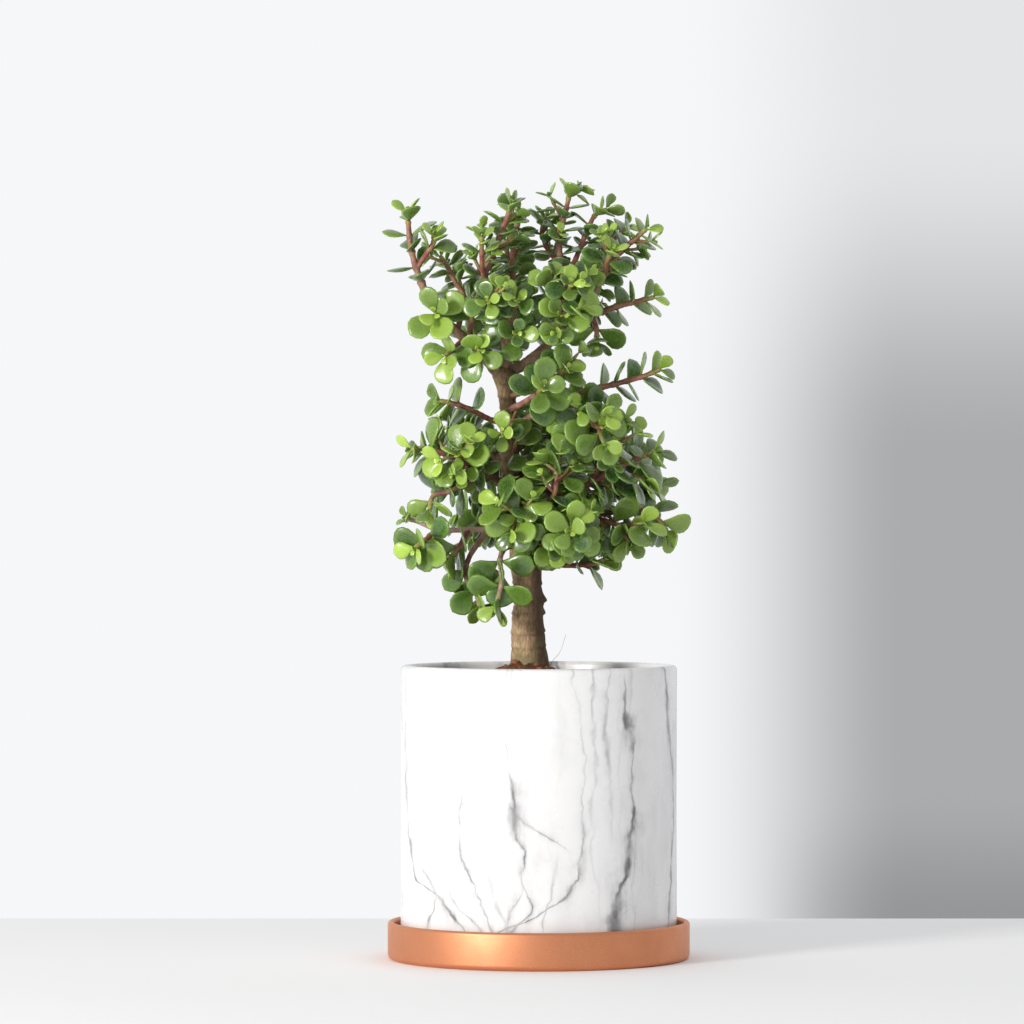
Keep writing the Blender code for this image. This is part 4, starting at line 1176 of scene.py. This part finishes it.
# %% Shoots on the branches
# Shoots sit just above the leaf pairs, and along the bare part of a branch near the trunk.
OPEN_BRANCHES = {
    "crown_left", "crown_left_twig", "crown_left_spur", "crown_left_low", "crown_left_under",
    "crown_left_front", "crown_right", "crown_right_low", "right_high", "left_long",
    "left_long_drop", "left_long_under", "lowest_left", "lowest_right", "front_drop",
    "collar_front", "collar_small", "middle_left_high", "middle_left_low", "crown_middle_low"}
FULL_TIERS = ("right", "middle", "front", "back")
SHOOT_CHANCE = 0.6
SHOOT_LIMIT = 0.052
ABOVE_PAIR = 0.0012
BARE_STEP = 0.006

for branch in BRANCHES:
    if branch.name in OPEN_BRANCHES:
        continue
    stem = stems[branch.name]
    bare = np.arange(stem.pairs[-1] - BARE_STEP, stem.start + BARE_STEP / 2, -BARE_STEP)
    spots = np.concatenate([stem.pairs[1:] + ABOVE_PAIR, bare])
    roots = stem.along(spots)[0]
    spots = spots[np.hypot(roots[:, 0] - TRUNK_X, roots[:, 1]) < SHOOT_LIMIT]
    full = branch.name.split("_")[0] in FULL_TIERS
    if not full:
        spots = spots[chooser.uniform(size=len(spots)) < SHOOT_CHANCE]
    grow_shoots(branch.name, stem, spots, LEAF_LENGTH * branch.size, 2 if full else 1)
print(sum(map(len, shoots.values())), "shoots on the branches")

# %% Sprigs on the trunk
# Each place: height in mm and turn, with the front at 270. A sprig grows where leaves fit.
SPRIGS = [(121, 285), (113, 250), (104, 275), (95, 300), (84, 262), (74, 290), (63, 255)]
SPRIG_REACH = 0.014

leaves["trunk"], shoots["trunk"] = [], []
for height, turn in SPRIGS:
    shoot, grown = grow_shoot(stems["trunk"], height * MM, turn, SPRIG_REACH, LEAF_LENGTH)
    if grown:
        shoots["trunk"].append(shoot)
        leaves["trunk"].extend(grown)
        thicket.settle(grown)
print(len(shoots["trunk"]), "sprigs of", len(SPRIGS), "places")
print(sum(map(len, shoots.values())), "shoots, so", sum(map(len, leaves.values())), "leaves")

# %% Buds at the tips
# The youngest pair still stands nearly closed over the growing point.
BUD_LEAN = 32.0
BUD_FACING = -0.1
BUD_SIZE = 0.24

for branch in BRANCHES:
    for tip in [stems[branch.name]] + shoots[branch.name]:
        for side in (0, 180):
            attitude = leaf_frame(tip, tip.length, branch.turn + 90 + side, BUD_LEAN, BUD_FACING)
            leaves[branch.name].append((attitude, LEAF_LENGTH * branch.size * BUD_SIZE, -1))
print(sum(map(len, leaves.values())), "leaves and bud leaves")

# %% [markdown]
# ## The leaf
# A dwarf jade leaf is a thick, waxy, nearly round blade: narrow where it joins the stem,
# broadest beyond its middle, flat on top and rounded below, with a full rounded edge. It is a
# skin of two parameters: the turn round the outline and the way in from the edge, first over
# the top to its middle and then under it. Each has only seventy faces, because there are over
# a thousand. Every leaf is bent, cupped and twisted a little differently.

# %% Leaf form
AROUND_LEAF = 14
# Rings from the top's middle over the edge to the underside: way out, height share.
LEAF_RINGS = np.array([(0.52, 0.96), (0.88, 0.62), (1.00, 0.00), (0.80, -0.72)])

turns = np.linspace(0, 2 * np.pi, AROUND_LEAF, endpoint=False)
rings = np.stack([LEAF_RINGS[:, :1] * np.cos(turns), LEAF_RINGS[:, :1] * np.sin(turns),
                  LEAF_RINGS[:, 1:] + 0 * turns], -1)
BLANK = np.vstack([[(0.05, 0, 1.0)], rings.reshape(-1, 3), [(0.0, 0, -1.1)]])
out_share = np.hypot(BLANK[:, 0], BLANK[:, 1])
EDGE = np.clip((out_share - 0.5) / 0.5, 0, 1) ** 2
UPPER = (BLANK[:, 2] >= 0).astype(float)
print("a leaf has", len(BLANK), "points")


def leaf_skins(found, rng):
    """Points of many leaves at once, as (leaf, point, axis).

    Along the midrib a point is length times its share of the way, across it half the width,
    pinched at the root. Up it is the blade's thickness, plus the cup (grows with the square
    of the way across), the bend (with the square of the way along) and the twist.
    """
    count = len(found)
    root, along_, breadth, face = (np.array([item[0][i] for item in found])[:, None, :]
                                   for i in range(4))
    length = np.array([item[1] for item in found])[:, None]
    x, y, z = BLANK.T
    rand = rng.uniform(-1, 1, (6, count, 1))
    share = ((x + 1.0) / 2.0) ** LEAF_SHOULDER
    pinch = 1.0 - 0.50 * np.exp(-((x + 1.0) / 0.50) ** 2)
    width = LEAF_WIDTH * (1.0 + 0.12 * rand[0])
    half = length * width / 2 * (1.0 + LEAF_WAIST * x) / (1.0 + LEAF_WAIST / 2) * pinch
    depth = 0.80 * LEAF_THICKNESS / 2 * (length / LEAF_LENGTH) ** 0.5
    thick = depth * z * (1.0 - 0.25 * share)
    apex = 0.025 * (1 + rand[1]) * np.exp(-(y / 0.18) ** 2) * (x > 0)
    cup = length * (LEAF_CUP + 0.09 * rand[2]) * y ** 2
    bend = length * (-0.07 + 0.10 * rand[3]) * share ** 2
    twist = half * y * 0.30 * rand[4] * share
    ripple = length * 0.010 * rand[5] * np.sin(3 * np.arctan2(y, x)) * np.hypot(x, y) ** 3
    reach = length * (share + apex)
    lift = thick + cup + bend + twist + ripple
    return (root + reach[..., None] * along_ + (half * y)[..., None] * breadth
            + lift[..., None] * face)


# %% [markdown]
# ## The leaf's finish
# Light goes a little way into the flesh, so a part of it is subsurface. Young leaves at the
# tips are yellow-green, old ones deep green, and leaves deep in the crown are darkened further
# as painted shade. The rim is a thin paler line, partly the leaf's own margin and partly a
# painted highlight on the rounded edge; the underside is greyer, and darkened as painted shade.
# A waxy skin gives soft highlights, broken by fine mottling.

# %% Leaf flesh
YOUNG_GREEN, OLD_GREEN = (0.450, 0.640, 0.080), (0.056, 0.140, 0.020)
# The deep green serves both for older leaves and for painted shade.
DEEP_GREEN_AND_SHADE, MOTTLE_GREEN = (0.012, 0.048, 0.010), (0.170, 0.340, 0.060)
# The rim green is partly the leaf's own margin and partly a painted highlight on the edge.
SHADED_UNDERSIDE_GREEN, RIM_AND_GLINT_GREEN = (0.085, 0.150, 0.045), (0.360, 0.560, 0.120)

flesh = Finish("leaf_flesh", Subsurface_Weight=0.12, Subsurface_Scale=0.0015, IOR=1.45,
               Coat_Weight=0.45, Coat_Roughness=0.12)
flesh.shader.inputs["Subsurface Radius"].default_value = (0.5, 1.0, 0.15)
spot = flesh.place()
age, tone, edge, upper = (flesh.read(key) for key in ("age", "tone", "edge", "upper"))
mottle = flesh.noise(spot, 700.0, 4.0, 0.6)
cells = flesh.noise(spot, 5200.0, 2.0)
green = flesh.blend(age, YOUNG_GREEN, OLD_GREEN)
# Tone darkens leaves: partly the random deeper green of older leaves, partly painted shade.
green = flesh.blend(flesh.times(tone, 0.90), green, DEEP_GREEN_AND_SHADE)
green = flesh.blend(flesh.between(mottle, 0.35, 0.70, 0.0, 0.22), green, MOTTLE_GREEN)
# The underside is greyer, and also darkened as painted shade.
green = flesh.blend(flesh.between(upper, 0.0, 1.0, 0.55, 0.0), green, SHADED_UNDERSIDE_GREEN)
# The paler rim is partly the leaf's own margin and partly a painted highlight on the rounded edge.
green = flesh.blend(flesh.times(edge, 0.34), green, RIM_AND_GLINT_GREEN)
flesh.wire(flesh.shader, {"Base Color": green,
                          "Roughness": flesh.between(mottle, 0.3, 0.7, 0.22, 0.36)})
flesh.relief(flesh.plus(flesh.times(cells, 0.35), mottle), 0.00012, 0.5)
print("made", flesh.material.name)

# %% Stem skin
# Young stems are purple-red and smooth, old ones brown and rough. A few have paled to pink.
PURPLE, RUST = (0.29, 0.065, 0.080), (0.33, 0.165, 0.070)
BROWN, TAN = (0.22, 0.130, 0.085), (0.40, 0.265, 0.180)
PALE_PINK, TIP_GREEN, STREAK = (0.560, 0.370, 0.300), (0.32, 0.33, 0.085), (0.10, 0.050, 0.035)

stem_skin = Finish("stem_skin", Specular_IOR_Level=0.4)
spot = stem_skin.place()
wood = stem_skin.read("wood")
streaks = stem_skin.noise(spot, 1400.0, 4.0, 0.6)
patches = stem_skin.between(stem_skin.noise(spot, 260.0, 3.0), 0.35, 0.65)
young = stem_skin.blend(patches, PURPLE, RUST)
old = stem_skin.blend(patches, BROWN, TAN)
skin = stem_skin.blend(wood, young, old)
skin = stem_skin.blend(stem_skin.between(wood, 1.0, 2.0), skin, PALE_PINK)
skin = stem_skin.blend(stem_skin.read("tip"), skin, TIP_GREEN)
skin = stem_skin.blend(stem_skin.between(streaks, 0.50, 0.75, 0.0, 0.6), skin, STREAK)
stem_skin.wire(stem_skin.shader, {"Base Color": skin,
                                  "Roughness": stem_skin.between(wood, 0.0, 1.0, 0.34, 0.72)})
stem_skin.relief(streaks, 0.0003, 0.6)
print("made", stem_skin.material.name)

# %% [markdown]
# ## Stems
# A stem is a round section carried along the branch's run. It is a little swollen at every
# leaf pair, where the scars of fallen leaves leave a ring, and closed by a blunt tip.

# %% Sweep and stems


def swept(spots, headings, radii, around, bumps=0.0):
    """Rings of a tube: centre plus radius times (cos t * side + sin t * across).

    The side is square to the heading and to the axis that the run leans on least.
    """
    reach = np.abs(headings).max(axis=0)
    guide = np.eye(3)[np.argmin(reach)]
    side = unit(np.cross(headings, guide))[:, None, :]
    across = np.cross(headings[:, None, :], side)
    turn = np.linspace(0, 2 * np.pi, around, endpoint=False)[None, :, None]
    radii = (np.reshape(radii, (-1, 1)) * (1 + bumps))[..., None]
    return spots[:, None, :] + radii * (np.cos(turn) * side + np.sin(turn) * across)


def closed_tube(rings, first, last):
    """The points of a tube with its two poles."""
    return np.vstack([[first], rings.reshape(-1, 3), [last]])


def outward_faces(faces, points):
    """The faces, turned round if the skin's signed volume is negative."""
    volume = 0.0
    for kind in faces:
        corners = points[kind]
        for second in range(1, kind.shape[1] - 1):
            volume += np.einsum("ij,ij->", corners[:, 0], np.cross(corners[:, second],
                                                                  corners[:, second + 1]))
    return faces if volume > 0 else tuple(kind[:, ::-1] for kind in faces)


# %% The skin of a stem
AROUND_STEM = 10
STEM_STEP = 0.0011
NODE_SWELL = 0.30
NODE_WIDTH = 0.0009
YOUNG_RADIUS = 0.0012
OLD_RADIUS = 0.0022
GREEN_TIP = 0.009


def stem_skin_mesh(stem, swellings, around, rng, pale=0.0):
    """Points, faces and age of wood of one stem, swollen where its leaf pairs sit."""
    count = max(4, int(stem.length / STEM_STEP))
    marks = np.linspace(0.0, stem.length, count)
    spots, headings = stem.along(marks)
    radii = stem.radius(marks)
    for swelling in swellings:
        radii = radii * (1 + NODE_SWELL * np.exp(-((marks - swelling) / NODE_WIDTH) ** 2))
    radii = radii * (1 + 0.04 * rng.uniform(-1, 1, count))
    radii[-1] *= 0.7
    rings = swept(spots, headings, radii, around, 0.05 * rng.uniform(-1, 1, (count, around)))
    tip = spots[-1] + headings[-1] * radii[-1] * 0.6
    points = closed_tube(rings, spots[0], tip)
    faces = outward_faces(skin_faces(count, around), points)
    wood = np.clip((radii - YOUNG_RADIUS) / (OLD_RADIUS - YOUNG_RADIUS), 0, 1)
    wood = np.maximum(wood, pale)
    tip_share = np.clip(1 - (stem.length - marks) / GREEN_TIP, 0, 1)
    wood, tip_share = (np.concatenate([[value[0]], np.repeat(value, around), [value[-1]]])
                       for value in (wood, tip_share))
    return points, faces, wood, tip_share


# %% Meshes of leaves and stems
# Leaves near the trunk, low on the right and at the back get a deeper green: painted shade for
# where they lie in shadow.
SHADE_REACH = 0.05
LOW_TIER, TIER_FADE = 0.27, 0.02
leaf_faces = skin_faces(len(LEAF_RINGS), AROUND_LEAF)


def add_leaves(name, found, nodes, rng):
    """One mesh of all leaves of a branch, with their age, tone with painted shade, edge and upper
    side.
    """
    skins = leaf_skins(found, rng)
    count, each = skins.shape[:2]
    index = np.array([item[2] for item in found])
    age = np.clip((index + 0.35) / 3.4, 0, 1) + 0.20 * rng.uniform(-1, 1, count)
    roots = np.array([item[0][0] for item in found])
    # Painted shade: leaves near the trunk, low on the right and at the back are darkened.
    inner = np.clip(1 - np.hypot(roots[:, 0] - TRUNK_X, roots[:, 1] + 0.02) / SHADE_REACH, 0, 1)
    right = np.clip(roots[:, 0] / SHADE_REACH, 0, 1)
    low = np.clip((LOW_TIER - roots[:, 2]) / TIER_FADE, 0, 1)
    back = np.clip(roots[:, 1] / SHADE_REACH, 0, 1)
    painted_leaf_shade = 0.30 * inner + 0.30 * right * low + 0.20 * back
    attributes = {
        "age": np.repeat(np.clip(age, 0, 1), each),
        "tone": np.repeat(np.clip(0.9 * rng.uniform(0, 1, count) ** 1.9 + painted_leaf_shade, 0, 1), each),
        "edge": np.tile(EDGE, count),
        "upper": np.tile(UPPER, count),
    }
    add_piece(name, skins, repeated(leaf_faces, each, count), flesh.material,
              nodes, attributes)
    return count


def add_stems(name, parts, nodes):
    """One mesh of several stems, each given as points, faces, wood and tip share."""
    squares, triangles, offset = [], [], 0
    for part_points, (part_squares, part_triangles), _, _ in parts:
        squares.append(part_squares + offset)
        triangles.append(part_triangles + offset)
        offset += len(part_points)
    add_piece(name, np.vstack([part[0] for part in parts]),
              (np.vstack(squares), np.vstack(triangles)), stem_skin.material, nodes,
              {"wood": np.concatenate([part[2] for part in parts]),
               "tip": np.concatenate([part[3] for part in parts])})


# %% Put leaves and stems on every branch
# How far a branch's skin has paled: 1 is old brown, 2 the palest pink.
PALE = {"left_long": 1.9, "front_drop": 1.2, "lowest_left": 0.8, "front_heart": 1.2,
        "front_right": 1.4, "middle_left_low": 0.6}
AROUND_SHOOT = 6
SHOOT_RING = 0.72


def shoot_skins(name, rng):
    """The skins of a branch's shoots, each with one ring."""
    return [stem_skin_mesh(shoot, [shoot.length * SHOOT_RING], AROUND_SHOOT, rng)
            for shoot in shoots[name]]


leaf_total = 0
for number, branch in enumerate(BRANCHES):
    rng = np.random.RandomState(100 + number)
    name, stem = branch.name, stems[branch.name]
    leaf_total += add_leaves(name + "_leaves", leaves[name], [name], rng)
    skins = [stem_skin_mesh(stem, stem.pairs, AROUND_STEM, rng, PALE.get(name, 0.0))]
    add_stems(name + "_stem", skins + shoot_skins(name, rng), [name])
rng = np.random.RandomState(99)
leaf_total += add_leaves("trunk_sprig_leaves", leaves["trunk"], [], rng)
add_stems("trunk_sprig_stems", shoot_skins("trunk", rng), [])
print(leaf_total, "leaves of", len(leaf_faces[0]) + len(leaf_faces[1]), "faces each")

# %% [markdown]
# ## Trunk
# Old jade wood is grey-brown and wrinkled, with ring scars where pairs of leaves once sat and
# lumps where branches were lost. It flares into the soil and widens at the fork. The bark's
# wrinkles are real relief in the tube, and finer ones come from the finish. The side away from
# the lamp is painted darker, as painted shade.

# %% Bark
BARK, BARK_PALE = (0.300, 0.185, 0.100), (0.640, 0.455, 0.270)
BARK_PATCH, BARK_SPECK = (0.300, 0.190, 0.120), (0.480, 0.360, 0.260)
# The darkest brown below is painted shade for the trunk's side away from the lamp.
CREASE, PAINTED_SHADE_BROWN, ALGAE = (0.075, 0.045, 0.030), (0.050, 0.025, 0.014), (0.170, 0.190, 0.070)

bark = Finish("trunk_bark", Roughness=0.80, Specular_IOR_Level=0.3)
spot = bark.place()
long_spot = bark.stretched(spot, (1.0, 1.0, 0.35))
fibres = bark.noise(long_spot, 900.0, 5.0, 0.65)
patches = bark.noise(spot, 130.0, 3.0)
specks = bark.noise(spot, 2200.0, 2.0)
bark_tone = bark.blend(bark.between(fibres, 0.32, 0.68), BARK, BARK_PALE)
bark_tone = bark.blend(bark.between(patches, 0.40, 0.70, 0.0, 0.55), bark_tone, BARK_PATCH)
bark_tone = bark.blend(bark.between(specks, 0.60, 0.80, 0.0, 0.6), bark_tone, BARK_SPECK)
bark_tone = bark.blend(bark.read("crease"), bark_tone, CREASE)
# Painted shade: the trunk's side away from the lamp blends towards a deep brown.
bark_tone = bark.blend(bark.times(bark.read("lee"), 0.86), bark_tone, PAINTED_SHADE_BROWN)
algae = bark.times(bark.read("base"), bark.between(patches, 0.42, 0.60))
bark_tone = bark.blend(bark.times(algae, 0.5), bark_tone, ALGAE)
bark.wire(bark.shader, {"Base Color": bark_tone})
bark.relief(bark.plus(fibres, bark.times(specks, 0.3)), 0.0006, 0.6)
print("made", bark.material.name)

# %% The trunk
AROUND_TRUNK = 48
TRUNK_STEP = 0.0009
FLARE = 0.20
FLARE_HEIGHT = 0.007
ALGAE_HEIGHT = 0.022
# Ring scars: height above the soil in mm, depth as a share of the radius.
SCARS = [(9, 0.05), (16, 0.07), (25, 0.08), (31, 0.10), (40, 0.08), (52, 0.06), (60, 0.05),
         (70, 0.07), (79, 0.05), (90, 0.08), (99, 0.06), (107, 0.08), (118, 0.10),
         (128, 0.08), (134, 0.10)]
SCAR_WIDTH, SCAR_LIP_ABOVE, SCAR_LIP_WIDTH = 0.00055, 0.0013, 0.0008
WRINKLES = 26
# Knots: height in mm, turn in degrees from the left over the front, width in mm, swelling.
KNOTS = [(33, 176, 2.4, 0.26), (27, 188, 1.8, 0.14), (14, 120, 3.0, 0.08), (24, 40, 4.0, 0.08),
         (52, 110, 5.0, 0.14), (46, 260, 5.0, 0.16), (62, 50, 4.0, 0.12), (88, 100, 4.0, 0.12)]
KNOT_RADIUS = 0.0075

trunk = stems["trunk"]
foot = trunk.run[0] - np.array((0, 0, TRUNK_BURIED))
rng = np.random.RandomState(5)
marks = np.arange(0.0, trunk.length, TRUNK_STEP)
spots, headings = trunk.along(marks)
radii = trunk.radius(marks) * (1 + FLARE * np.exp(-marks / FLARE_HEIGHT))
turns = np.linspace(0, 2 * np.pi, AROUND_TRUNK, endpoint=False)
up, round_ = marks[:, None], turns[None, :]
relief = 0.025 * np.sin(3 * round_ + 40 * up) + 0.014 * np.sin(5 * round_ - 95 * up + 1)
crease = np.zeros_like(relief)
for _ in range(WRINKLES):
    turns_each, rise = rng.randint(3, 15), rng.uniform(-700, 700)
    relief = relief + 0.0040 * np.sin(turns_each * round_ + rise * up + rng.uniform(0, 6))
for height, depth in SCARS:
    tilt = 0.0008 * np.sin(round_ + height)
    dip = np.exp(-((up - height * MM - tilt) / SCAR_WIDTH) ** 2)
    lift = np.exp(-((up - height * MM - tilt - SCAR_LIP_ABOVE) / SCAR_LIP_WIDTH) ** 2)
    relief = relief + depth * (0.75 * lift - 0.6 * dip)
    crease = np.maximum(crease, dip * 0.50 * (0.6 + 0.4 * np.sin(2 * round_ + height * 3)))
for height, turn, width, swelling in KNOTS:
    around_by = np.angle(np.exp(1j * (round_ - math.radians(turn)))) * KNOT_RADIUS
    relief = relief + swelling * np.exp(-((up - height * MM) ** 2 + around_by ** 2)
                                        / (width * MM) ** 2)
ease = np.clip((trunk.length - marks) / 0.004, 0.15, 1.0) ** 0.5
rings = swept(spots, headings, radii * ease, AROUND_TRUNK, relief)
lower = np.stack([rings[0] + (foot - spots[0]) * share for share in (1.0, 0.6, 0.25)])
rings = np.concatenate([lower, rings])
points = closed_tube(rings, foot, trunk.run[-1] + headings[-1] * 0.0006)
crease = np.concatenate([[0], np.zeros(3 * AROUND_TRUNK), crease.ravel(), [0]])
base = np.clip(1 - (points[:, 2] - trunk_foot) / ALGAE_HEIGHT, 0, 1)
# Painted shade: the side away from the lamp is painted darker.
axis_x = np.interp(points[:, 2], trunk.run[:, 2], trunk.run[:, 0])
lee = np.clip((points[:, 0] - axis_x) / (0.45 * TRUNK_DIAMETER) + 0.35, 0, 1)
add_piece("trunk_wood", points, outward_faces(skin_faces(len(rings), AROUND_TRUNK), points),
          bark.material, ["trunk"], {"crease": crease, "base": base, "lee": lee})
print("trunk rings", len(rings))

# %% Root hair and chips
# A dry root stands out of the soil beside the trunk, and four larger chips of bark lie on it.
HAIR_RADIUS = 0.00013
HAIR_COURSE = [(9, -2, -4), (11, -2, 2), (15, -2, 7), (18, -2, 16)]
# Chips: right and back of the trunk, and length, in mm.
CHIPS = [(17, -6, 2.4), (21, -2, 3.0), (24, -8, 2.2), (-16, -9, 2.4)]
CHIP_FORM = np.array((1.0, 0.7, 0.45))

root_hair = Stem([place(point) for point in HAIR_COURSE], (HAIR_RADIUS, HAIR_RADIUS / 2))
add_stems("root_hair", [stem_skin_mesh(root_hair, [], AROUND_SHOOT, rng, 2.0)], [])
chips = []
for right_, back_, size in CHIPS:
    x, y = TRUNK_X + right_ * MM, back_ * MM
    shape = stone * (1 + 0.25 * rng.uniform(-1, 1, (12, 1))) * CHIP_FORM * size * MM / 2
    chips.append(shape + (x, y, soil_height(np.array([x]), np.array([y]))[0] + 0.2 * size * MM))
add_piece("bark_chips", np.array(chips), repeated((no_squares, stone_faces), 12, len(CHIPS)),
          soil.material, [], {"tone": np.zeros(12 * len(CHIPS))})
print(len(CHIPS), "chips")

# %% [markdown]
# ## The table
# A matt white table top, so nothing competes with the plant.

# %% Table
TABLE_BACK = 0.24
TABLE_REACH = 6.0
TABLE_WHITE = (0.97, 0.97, 0.965, 1.0)

corners = np.array([(-1, -1, 0), (1, -1, 0), (1, 0, 0), (-1, 0, 0)]) * TABLE_REACH
corners = corners + (0, TABLE_BACK, 0)
mesh = bpy.data.meshes.new("table_top")
mesh.from_pydata(corners.tolist(), [], [(0, 1, 2, 3)])
paint = Finish("table_paint", Roughness=0.9, Base_Color=TABLE_WHITE)
mesh.materials.append(paint.material)
table = bpy.data.objects.new("table_top", mesh)
bpy.context.scene.collection.objects.link(table)
print("table", 2 * TABLE_REACH, "m wide")
